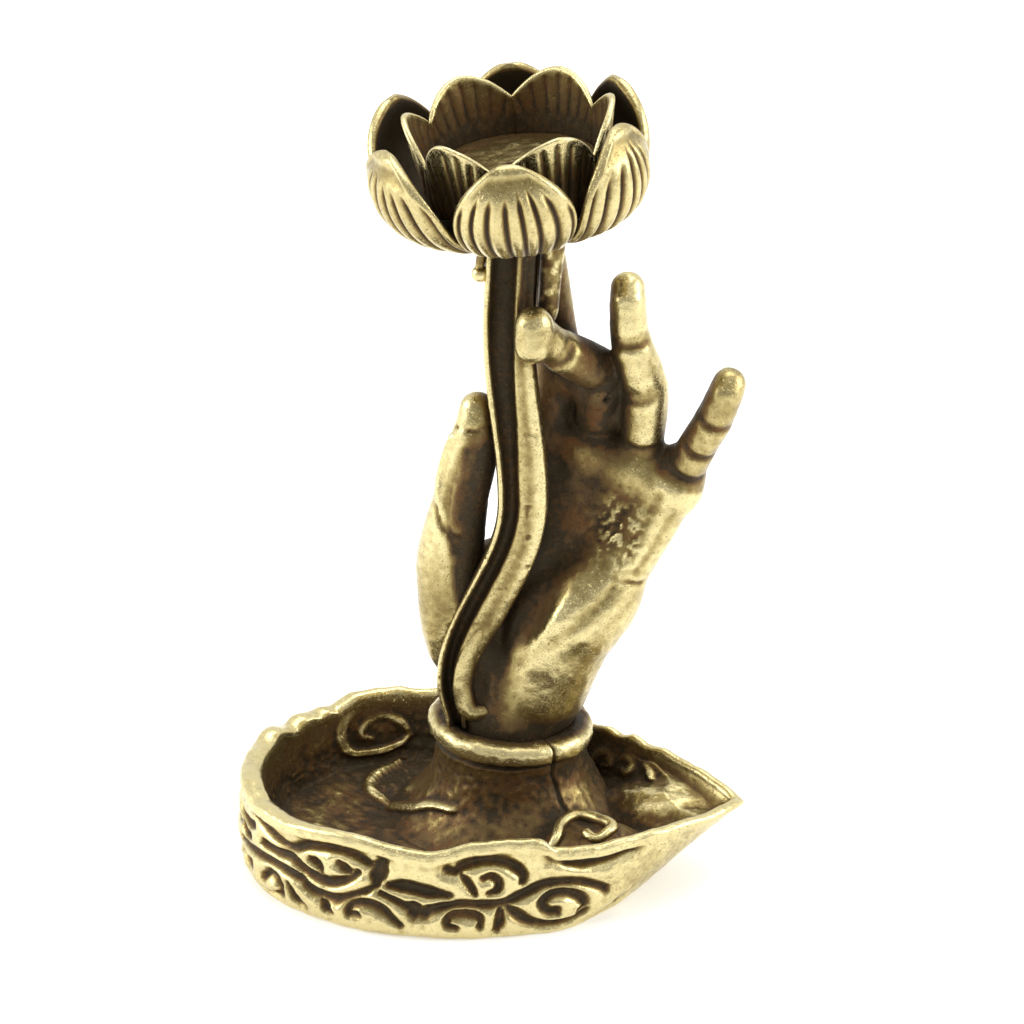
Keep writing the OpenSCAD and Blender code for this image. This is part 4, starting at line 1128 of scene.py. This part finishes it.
def mould_digits(clay):
    """Thumb with its fold, and fingers, the bones of the front three each with a pad."""
    clay.add_limb([WRIST + [-1.2, -0.4, 1], *thumb], np.array((3.8, *THUMB_RADII)) + 0.15, 1.2)
    clay.add_limb(thumb_fold, np.array(THUMB_FOLD_RADII), 0.25)
    clay.add_limb(index_finger, np.linspace(FINGER_R, FINGERTIP_R, 3), 0.7)
    pad_out = 0.65 * FRONT
    for finger, radii in DIGITS:
        clay.add_limb(finger, np.array(radii) * 0.92, 0.9)
        for i in range(len(finger) - 1):
            a, b = lerp(finger[i], finger[i + 1], 0.26), lerp(finger[i], finger[i + 1], 0.8)
            r = lerp(radii[i], radii[i + 1], 0.5) * 0.86
            clay.add(a + pad_out, b + pad_out, r, r, 0.35)
    tip = middle_finger[3]
    clay.add(tip + [0, -0.7, -1.5], tip + [0, -0.6, 0.4], 1.8, 1.75, 0.3)


def mould_back(clay):
    """Back of the hand with its knuckles and tendons, and the metal between the fingers."""
    clay.add(in_palm(-3.2, 2.0, 3), in_palm(-3.2, 1.6, 12), 2.7, 2.6, 1.6)
    for n in range(4):
        clay.add(knuckle(n) + [0, 0.8, -0.6], knuckle(n) + [0, 0.8, 0.2], 2.0, 1.9, 1.0)
        clay.add(in_palm((n - 1.5) * 2.4, 3.2, 12), knuckle(n) + [0, 1.9, -2.0], 1.0, 0.9, 1.6)

    def on_first_bone(finger, share):
        return lerp(finger[0], finger[1], share)

    clay.add(on_first_bone(middle_finger, 0.4), on_first_bone(ring_finger, 0.4), 1.3, 1.3, 0.6)
    clay.add(on_first_bone(index_finger, 0.6), on_first_bone(middle_finger, 0.7), 1.7, 1.7, 1.0)
    clay.add(index_finger[1], middle_finger[1] + [-1.5, 0.6, 0.6], 1.5, 1.4, 1.0)


def cut_valley(clay):
    """Valley between the stem's broad lip and the heel, wider above."""
    heights = np.linspace(15.5, 32, 12)
    widen = smooth(20, 27, heights)
    valley = [stem_section(z, broad_edge(z) + 0.55 + 0.75 * k, -0.1) for z, k in zip(heights, widen)]
    for a, b, k in zip(valley, valley[1:], widen):
        clay.cut(a, b, 0.75 + 0.75 * k, 0.7 + 0.9 * k)


def score_nails(clay):
    for finger, r in ((ring_finger, 1.75), (little_finger, 1.7), (index_finger, 1.8), (thumb, 1.9)):
        axis = unit(finger[-1] - finger[-2])
        side = unit(np.cross(axis, FRONT))
        back = np.cross(axis, side)
        middle = finger[-1] + 0.9 * r * back
        line = flowing([middle + r * (s * side + k * axis - 0.28 * s * s * back) for s, k in NAIL], 4)
        clay.score(line, 0.2, 0.34)


def score_joints(clay):
    """Creases before and behind the joints of the front three fingers. Gives the front ones."""
    folds = []
    a = np.radians(np.linspace(-62, 62, 9))[:, None]
    for finger, radii in DIGITS:
        for i in range(len(finger) - 1):
            place = finger[i] if i else finger[0] + 0.2 * (finger[1] - finger[0])
            axis = unit(finger[i + 1] - finger[i])
            side = unit(np.cross(axis, FRONT))
            front = np.cross(side, axis)
            bow = 0.5 * np.cos(a) * axis
            folds.append(place + radii[i] * 1.12 * (np.sin(a) * side + np.cos(a) * front) - bow)
            clay.score(folds[-1], 0.24, 0.6)
            clay.score(place + radii[i] * (0.6 * np.sin(a) * side - np.cos(a) * front), 0.3, 0.22)
    return folds


def score_thumb(clay):
    """Crease under the thumb's tip, hollow beside its fold, and the crease below the fold, which it gives."""
    tip_crease = places_from(thumb[5], (-1.7, -0.8, 0.9), (0, -2.0, 1.0), (1.6, -1.0, 1.1))
    clay.score(tip_crease, 0.18, 0.3)
    hollow = [thumb[4] + [-0.4, -2.6, 2.0], thumb[4] + [-1.5, -2.2, -0.5], thumb[3] + [-1.3, -2.0, -0.6],
              thumb[3] + [-1.0, -2.3, -3.0], thumb[2] + [0.5, -2.8, -0.6]]
    clay.score(flowing(hollow, 4), 0.5, 0.4)
    below = [thumb_fold[3] + [-0.5, -0.5, -1.6], thumb_fold[5] + [-0.3, -0.3, -1.0],
             thumb_fold[6] + [0.4, -0.2, -0.9]]
    crease = flowing(below, 6)
    clay.score(crease, 0.24, 0.35)
    return crease


def score_palm(clay):
    for width, depth, *places in PALM_LINES:
        clay.score([in_palm(*place) for place in places], width, depth)


def bed_the_stem(clay):
    """Bed of the channel, open to the front, and a flat end inside the collar."""
    x, y, z = (clay.low[k] + clay.step * np.arange(clay.field.shape[k]) for k in range(3))
    middle, right, back = stem_frame(z)
    across = (x[:, None, None] - middle[:, 0]) * right[:, 0]
    deep = (y[None, :, None] - middle[:, 1]) * back[:, 1]
    bed = np.maximum(CHANNEL_LEFT + 0.25 - across, across - broad_edge(z) + 0.25)
    bed = np.maximum(bed, deep - CHANNEL_DEEP + 0.4)
    bed = np.maximum(bed, STEM_LOW - 0.4 - z)
    # The middle fingertip lies on the front of the broad lip
    pressed = (across > 1.2) & (z > middle_finger[3][2] - 4.5)
    bed = np.maximum(bed, np.where(pressed, -deep - 0.15, -9.0))
    clay.field = np.maximum(clay.field, -bed).astype(np.float32)
    clay.field = np.maximum(clay.field, SEAT[2] + GAP - z).astype(np.float32)


def hand_patina_and_shade(points, normal, faces_front):
    """Darkening in the palm beside the stem, partly patina and partly painted shade; painted shade on the
    thumb's inner side, its right half, where it faces the front; and darker on the bent finger.
    """
    x, z = points[:, 0], points[:, 2]
    up, across = (points - WRIST) @ PALM_UP, (points - WRIST) @ PALM_RIGHT
    shade_to = lerp(-2.2, 2.2, smooth(9, 20, up))
    palm = (1 - smooth(shade_to - 1.2, shade_to + 1.4, across)) * smooth(3, 9, up)
    palm *= smooth(0.3, -0.3, normal[:, 1])
    on_thumb, _ = near_line(points, thumb, 4)
    thumb_x, _, thumb_z = np.transpose(thumb)
    beside = x - np.interp(z, thumb_z, thumb_x) - 1.3 * smooth(thumb_z[3], thumb_z[1], z)
    along = smooth(thumb_z[0] - 3, thumb_z[1] - 3, z) * (1 - 0.7 * smooth(thumb_z[5] - 1, thumb_z[5] + 2, z))
    # Painted shade on the thumb's right half, on the faces to the front
    thumb_shade = smooth(3.8, 3.2, on_thumb) * faces_front * smooth(-1.3, -0.1, beside) * along
    palm *= smooth(3.0, 3.6, on_thumb)
    on_bent, share = near_line(points, middle_finger[:3], 4)
    bent = smooth(3.2, 2.6, on_bent) * (1 - smooth(0.86, 0.96, share))
    return np.max([0.24 * palm, 0.85 * thumb_shade, 0.62 * bent], axis=0)


def finger_tone_and_shade(points, normal):
    """Bright ring finger and duller little finger, both with painted shade on their left flanks."""
    flank_shade = 0.4 * smooth(-0.35, -0.85, normal[:, 0])
    on_ring, on_little = (smooth(3.2, 2.6, near_line(points, f, 4)[0]) for f in (ring_finger, little_finger))
    return (0.14 - flank_shade) * on_ring - (0.36 + flank_shade) * on_little


def build_hand():
    """Left hand with its palm to the front, its fingers round the stem."""
    low, high = box_mm("hand")
    low[2] = SEAT[2] - 0.6
    clay = Clay(low - [HAND_MARGIN, HAND_MARGIN, 0], high + HAND_MARGIN, HAND_STEP)
    mould_palm(clay)
    mould_digits(clay)
    mould_back(clay)
    cut_valley(clay)
    score_nails(clay)
    folds = [*score_joints(clay), score_thumb(clay)]
    score_palm(clay)
    clay.press_scores()
    bed_the_stem(clay)

    points, quads = clay.skin()
    normal = unit(corner_normals(points, quads))
    faces_front = smooth(0.5, 0.0, normal[:, 1])
    patch = spot(points, in_palm(3.2, -1.2, 20.5), [1, 0.35, 0.72], 2.1) * faces_front
    low_wrist = 1 - smooth(SEAT[2] + 3.6, SEAT[2] + 5.6, points[:, 2])
    grain = 0.06 * rough(points, 2.6, 101) + 0.03 * lumps(points, 0.6, 102)
    specks = smooth(0.0, 0.3, lumps(points, 0.42, 103))
    points = points + (grain + 0.12 * patch * specks)[:, None] * normal

    # Darkening of the palm, thumb and bent finger: patina and painted shade
    patina_and_shade = hand_patina_and_shade(points, normal, faces_front) * (1 - patch)
    # Painted shadow of the broad lip on the palm beside it, on the faces to the front
    lip = [stem_section(z, 1.6, 0.9) for z in (14.5, 18.0, 22.0, 26.0)]
    lip_shadow = smooth(3.6, 2.2, near_line(points, lip, 4)[0]) * faces_front
    # Painted highlight: the front of the heel drawn brighter, less so inside the lip's painted shadow
    heel = spot(points, in_palm(-0.6, -4.6, 5.4), [1, 0.5, 0.8], 3.8) * faces_front
    crease = np.max([bump(near_line(points, fold, 1.2)[0], 0, 0.42) for fold in folds], axis=0)
    on_fold = smooth(1.0, 0.6, near_line(points, flowing(thumb_fold), 2)[0])
    wear_and_shade = 0.06 + patch * (0.8 * specks - 0.4) - 0.22 * low_wrist - np.maximum(patina_and_shade, 0.42 * lip_shadow)
    wear_and_shade += 0.3 * heel * (1 - lip_shadow) - 0.4 * crease + 0.2 * on_fold + finger_tone_and_shade(points, normal)
    grit = 0.35 + 0.5 * patch + 0.5 * low_wrist + 0.4 * patina_and_shade
    add_piece("cast_hand", "hand", "hand_brass", points, quads, wear_and_shade, grit)


# Patina: how full of metal the room round each point is, and how sharply the skin bends there

GRID_STEP = 0.5
GRID_PAD = 9.0
ROOM_SIZES = (("close", 0.8), ("mid", 2.0), ("wide", 5.0))
EVENING_ROUNDS = 6
PLAIN_SHINE = 0.61


def grid_corners(points, low, counts):
    """The eight grid corners round each point: the point's share of a corner, and the corner."""
    at = (points - low) / GRID_STEP
    base = np.clip(np.floor(at).astype(int), 0, counts - 2)
    t = at - base
    for corner in np.ndindex(2, 2, 2):
        yield np.prod(np.where(corner, t, 1 - t), axis=1), tuple((base + corner).T)


def measure_room():
    """How full of metal the room in front of each point is, at three sizes of room."""
    low = np.min([p["points"].min(0) for p in pieces], axis=0) - GRID_PAD
    high = np.max([p["points"].max(0) for p in pieces], axis=0) + GRID_PAD
    counts = (np.ceil((high - low) / GRID_STEP / 8) * 8).astype(int)
    flow = np.zeros((3, *counts))
    for p in pieces:
        area = corner_normals(p["points"], p["quads"])
        p["normal"] = unit(area)
        for share, corner in grid_corners(p["points"], low, counts):
            flat = np.ravel_multi_index(corner, counts)
            for axis in range(3):
                flow[axis] += np.bincount(flat, area[:, axis] * share, counts.prod()).reshape(counts)
    waves = [np.fft.fftfreq(counts[0], GRID_STEP), np.fft.fftfreq(counts[1], GRID_STEP),
             np.fft.rfftfreq(counts[2], GRID_STEP)]
    waves = np.meshgrid(*[2 * math.pi * w for w in waves], indexing="ij", sparse=True)
    square = sum(k**2 for k in waves)
    square[0, 0, 0] = 1
    spread = sum(1j * k * np.fft.rfftn(f) for k, f in zip(waves, flow)) / square / GRID_STEP**3
    spread[0, 0, 0] = 0
    for name, size in ROOM_SIZES:
        full = np.fft.irfftn(spread * np.exp(-square * size**2 / 2), s=tuple(counts))
        full -= full[:2].mean()
        for p in pieces:
            ahead = p["points"] + size * p["normal"]
            p[name] = sum(share * full[corner] for share, corner in grid_corners(ahead, low, counts))


def measure_bends(p):
    """How far the evened skin lies outside each point: above nought in a crease, below on an edge."""
    quads, points = p["quads"], p["points"]
    a = np.concatenate([quads[:, k] for k in range(4)])
    b = np.concatenate([quads[:, (k + 1) % 4] for k in range(4)])
    count = np.maximum(np.bincount(a, minlength=len(points)), 1)[:, None]
    even = points
    for _ in range(EVENING_ROUNDS):
        even = np.stack([np.bincount(a, even[b, k], len(even)) for k in range(3)], -1) / count
    p["crease"] = np.einsum("ij,ij->i", even - points, p["normal"])


def wear_and_shade_of(p):
    """Shine from 0, dark patina, to 1, worn bright, with the hand's painted shade and highlight in it."""
    hollow = 0.9 * (p["close"] - 0.16) + 1.6 * (p["mid"] - 0.14) + 1.5 * (p["wide"] - 0.10)
    bent = np.clip(4.0 * p["crease"], -0.2, 0.4)
    return np.clip(PLAIN_SHINE + p["wear_and_shade"] - np.clip(hollow, -0.25, 0.9) - bent, 0, 1)


# Material

PATINA = (
    (0.00, (0.056, 0.041, 0.022)),
    (0.08, (0.094, 0.058, 0.025)),
    (0.22, (0.144, 0.090, 0.034)),
    (0.40, (0.190, 0.126, 0.044)),
    (0.56, (0.275, 0.208, 0.078)),
    (0.74, (0.450, 0.360, 0.152)),
    (1.00, (0.740, 0.630, 0.318)),
)
RED_BROWN = (0.150, 0.058, 0.015)
PIT_DEPTH = 0.12
# How much duller or brighter than the rest a slot is
SLOT_TONES = {"outer_petal_brass": -0.14}


class Nodes:
    """Short ways to add linked nodes to a material's or world's tree."""

    def __init__(self, tree):
        self.tree = tree

    def new(self, kind):
        return self.tree.nodes.new(kind)

    def link(self, value, socket):
        self.tree.links.new(value, socket)

    def math(self, kind, a, b, clamp=False):
        node = self.new("ShaderNodeMath")
        node.operation = kind
        node.use_clamp = clamp
        for socket, value in zip(node.inputs, (a, b)):
            if isinstance(value, (int, float)):
                socket.default_value = value
            else:
                self.link(value, socket)
        return node.outputs[0]

    def add(self, a, b, clamp=False):
        return self.math("ADD", a, b, clamp)

    def times(self, a, b):
        return self.math("MULTIPLY", a, b)

    def noise(self, place, scale, detail, roughness=0.6):
        node = self.new("ShaderNodeTexNoise")
        for name, number in (("Scale", scale / MM), ("Detail", detail), ("Roughness", roughness)):
            node.inputs[name].default_value = number
        self.link(place, node.inputs["Vector"])
        return node.outputs["Fac"]

    def span(self, value, low, high, to_low, to_high):
        """The value moved from one range to another."""
        node = self.new("ShaderNodeMapRange")
        self.link(value, node.inputs["Value"])
        for name, number in zip(("From Min", "From Max", "To Min", "To Max"), (low, high, to_low, to_high)):
            node.inputs[name].default_value = number
        return node.outputs["Result"]

    def attribute(self, label):
        node = self.new("ShaderNodeAttribute")
        node.attribute_name = label
        return node.outputs["Fac"]


def patina_colour(nodes, shine, place):
    """Colour of the brass from its shine, with reddish brown in some of the hollows."""
    ramp = nodes.new("ShaderNodeValToRGB")
    nodes.link(shine, ramp.inputs["Fac"])
    stops = ramp.color_ramp.elements
    for at, colour in PATINA[1:-1]:
        stops.new(at).color = (*colour, 1)
    stops[0].color = (*PATINA[0][1], 1)
    stops[-1].color = (*PATINA[-1][1], 1)
    red = nodes.new("ShaderNodeMix")
    red.data_type = "RGBA"
    red.inputs["B"].default_value = (*RED_BROWN, 1)
    nodes.link(ramp.outputs["Color"], red.inputs["A"])
    patches = nodes.span(nodes.noise(place, 0.3, 4), 0.42, 0.64, 0, 0.75)
    in_hollows = nodes.times(nodes.span(shine, 0.2, 0.45, 1, 0), nodes.span(shine, 0.0, 0.2, 0, 1))
    nodes.link(nodes.times(patches, in_hollows), red.inputs["Factor"])
    return red.outputs["Result"]


def antique_brass(name, tone):
    """Cast brass: pale where worn or where a highlight is painted, brown and dull where patina stayed or
    shade is painted, speckled and pitted.
    """
    material = bpy.data.materials.new(name)
    material.use_nodes = True
    nodes = Nodes(material.node_tree)
    shader = material.node_tree.nodes["Principled BSDF"].inputs
    place = nodes.new("ShaderNodeTexCoord").outputs["Object"]
    grit = nodes.attribute("grit")
    broad = nodes.noise(place, 0.22, 3)
    fine = nodes.noise(place, 1.7, 6, 0.65)
    speck = nodes.noise(place, 4.5, 3, 0.7)
    pits = nodes.span(speck, 0.60, 0.70, 0, 1)
    glints = nodes.span(speck, 0.40, 0.30, 0, 1)
    shine = nodes.add(nodes.attribute("wear_and_shade"), tone)
    shine = nodes.add(shine, nodes.span(broad, 0.3, 0.7, -0.07, 0.07))
    shine = nodes.add(shine, nodes.span(fine, 0.3, 0.7, -0.08, 0.08))
    grain = nodes.times(nodes.math("SUBTRACT", glints, pits), nodes.span(grit, 0, 1, 0.17, 0.44))
    shine = nodes.add(shine, grain, True)
    dull = nodes.add(nodes.span(shine, 0.05, 0.9, 0.48, 0.21), nodes.span(fine, 0.3, 0.7, -0.06, 0.06))

    relief = nodes.new("ShaderNodeBump")
    relief.inputs["Distance"].default_value = PIT_DEPTH * MM
    nodes.link(nodes.add(nodes.times(fine, 0.7), nodes.times(grain, -1.6)), relief.inputs["Height"])
    nodes.link(nodes.span(grit, 0, 1, 0.25, 0.9), relief.inputs["Strength"])

    nodes.link(patina_colour(nodes, shine, place), shader["Base Color"])
    nodes.link(nodes.span(shine, 0.1, 0.5, 0.3, 0.94), shader["Metallic"])
    nodes.link(dull, shader["Roughness"])
    nodes.link(nodes.span(shine, 0.05, 0.5, 0.15, 0.5), shader["Specular IOR Level"])
    nodes.link(relief.outputs["Normal"], shader["Normal"])
    return material


def make_mesh(p, material):
    """The Blender object of a kept piece, riding on the part's one body."""
    mesh = bpy.data.meshes.new(p["name"])
    faces = [[c for i, c in enumerate(q) if c != q[i - 1]] for q in p["quads"].tolist()]
    mesh.from_pydata((p["points"] * MM).tolist(), [], faces)
    for label, values in (("wear_and_shade", wear_and_shade_of(p)), ("grit", np.clip(p["grit"], 0, 1))):
        values = np.ascontiguousarray(values, np.float32)
        mesh.attributes.new(label, "FLOAT", "POINT").data.foreach_set("value", values)
    mesh.polygons.foreach_set("use_smooth", [True] * len(mesh.polygons))
    mesh.materials.append(material)
    thing = bpy.data.objects.new(p["name"], mesh)
    bpy.context.scene.collection.objects.link(thing)
    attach(thing, "root")
    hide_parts(p["node"])


# Stage, in metres

FLOOR_R, FLOOR_SIDES, FLOOR_DROP = 3, 96, 0.00002
FLOOR_WHITE, FLOOR_GLOW = (0.93, 0.93, 0.92, 1), 0.35
# Level of the studio behind the camera, and of its light on dull surfaces
FRONT_WHITE, DULL_LIGHT = 0.5, 0.8
LAMP_TARGET = Vector((0, 0, 0.035))
LAMPS = (
    ("left_box", (-0.34, -0.06, 0.18), 0.24, 0.64),
    ("right_box", (0.34, 0.02, 0.18), 0.24, 0.60),
    ("top_box", (0.02, 0.06, 0.42), 0.30, 0.75),
)
VIEW_TURN, VIEW_RISE, VIEW_AWAY = math.radians(7), math.radians(24), 0.4
VIEW_TARGET = Vector((0.0015, 0.003, 0.0352))
LENS, SENSOR = 150, 36


def pale_floor():
    """Round white table top that keeps the shadow."""
    mesh = bpy.data.meshes.new("floor")
    edge = [(FLOOR_R * math.cos(a), FLOOR_R * math.sin(a), 0) for a in around(FLOOR_SIDES)]
    mesh.from_pydata(edge, [], [list(range(FLOOR_SIDES))])
    material = bpy.data.materials.new("floor_white")
    material.use_nodes = True
    nodes = Nodes(material.node_tree)
    shader = material.node_tree.nodes["Principled BSDF"].inputs
    shader["Base Color"].default_value = FLOOR_WHITE
    shader["Roughness"].default_value = 0.5
    shader["Emission Color"].default_value = (1, 1, 1, 1)
    path = nodes.new("ShaderNodeLightPath").outputs
    seen = nodes.math("MAXIMUM", path["Is Camera Ray"], path["Is Glossy Ray"])
    seen = nodes.math("MAXIMUM", seen, path["Is Transmission Ray"])
    nodes.link(nodes.times(seen, FLOOR_GLOW), shader["Emission Strength"])
    mesh.materials.append(material)
    floor = bpy.data.objects.new("floor", mesh)
    floor.location.z = -FLOOR_DROP
    bpy.context.scene.collection.objects.link(floor)


def white_studio():
    """White world, dimmer on the side where the camera stands."""
    world = bpy.data.worlds.new("studio")
    bpy.context.scene.world = world
    world.use_nodes = True
    nodes = Nodes(world.node_tree)
    backdrop = world.node_tree.nodes["Background"].inputs
    backdrop["Color"].default_value = (1, 1, 1, 1)
    way = nodes.new("ShaderNodeSeparateXYZ")
    nodes.link(nodes.new("ShaderNodeTexCoord").outputs["Generated"], way.inputs["Vector"])
    studio = nodes.span(way.outputs["Y"], -0.85, 0.15, FRONT_WHITE, 1.0)
    path = nodes.new("ShaderNodeLightPath").outputs
    shown = nodes.math("MAXIMUM", path["Is Glossy Ray"], path["Is Transmission Ray"])
    level = nodes.times(studio, nodes.span(shown, 0, 1, DULL_LIGHT, 1.0))
    nodes.link(nodes.math("MAXIMUM", level, path["Is Camera Ray"]), backdrop["Strength"])


def add_lamps():
    """Three soft boxes: left, right and above."""
    for name, place, size, power in LAMPS:
        lamp = bpy.data.lights.new(name, "AREA")
        lamp.shape = "SQUARE"
        lamp.size = size
        lamp.energy = power
        thing = bpy.data.objects.new(name, lamp)
        thing.location = place
        thing.rotation_euler = (LAMP_TARGET - Vector(place)).to_track_quat("-Z", "Y").to_euler()
        bpy.context.scene.collection.objects.link(thing)


def add_camera():
    """Camera of the photo: a long lens, a little to the right and above."""
    lens = bpy.data.cameras.new("photo")
    lens.lens, lens.sensor_width = LENS, SENSOR
    lens.clip_start, lens.clip_end = 0.01, 20
    camera = bpy.data.objects.new("photo", lens)
    level = math.cos(VIEW_RISE)
    back = Vector((math.sin(VIEW_TURN) * level, -math.cos(VIEW_TURN) * level, math.sin(VIEW_RISE)))
    camera.location = VIEW_TARGET + back * VIEW_AWAY
    camera.rotation_euler = (-back).to_track_quat("-Z", "Y").to_euler()
    bpy.context.scene.collection.objects.link(camera)
    bpy.context.scene.camera = camera


def model_burner():
    for model in (build_dish, build_volute, build_neck, build_collar, build_hand, build_channel,
                  build_channel_curl, build_stalk, build_bud, build_cup):
        model()
    for n in range(1, PETALS + 1):
        inner_petal(n)
        outer_petal(n)


def dress_burner():
    measure_room()
    slots = dict.fromkeys(p["slot"] for p in pieces)
    materials = {slot: antique_brass(slot, SLOT_TONES.get(slot, 0.0)) for slot in slots}
    for p in pieces:
        measure_bends(p)
        make_mesh(p, materials[p["slot"]])


model_burner()
dress_burner()
pale_floor()
white_studio()
add_lamps()
add_camera()
bpy.context.scene.view_settings.view_transform = "Standard"
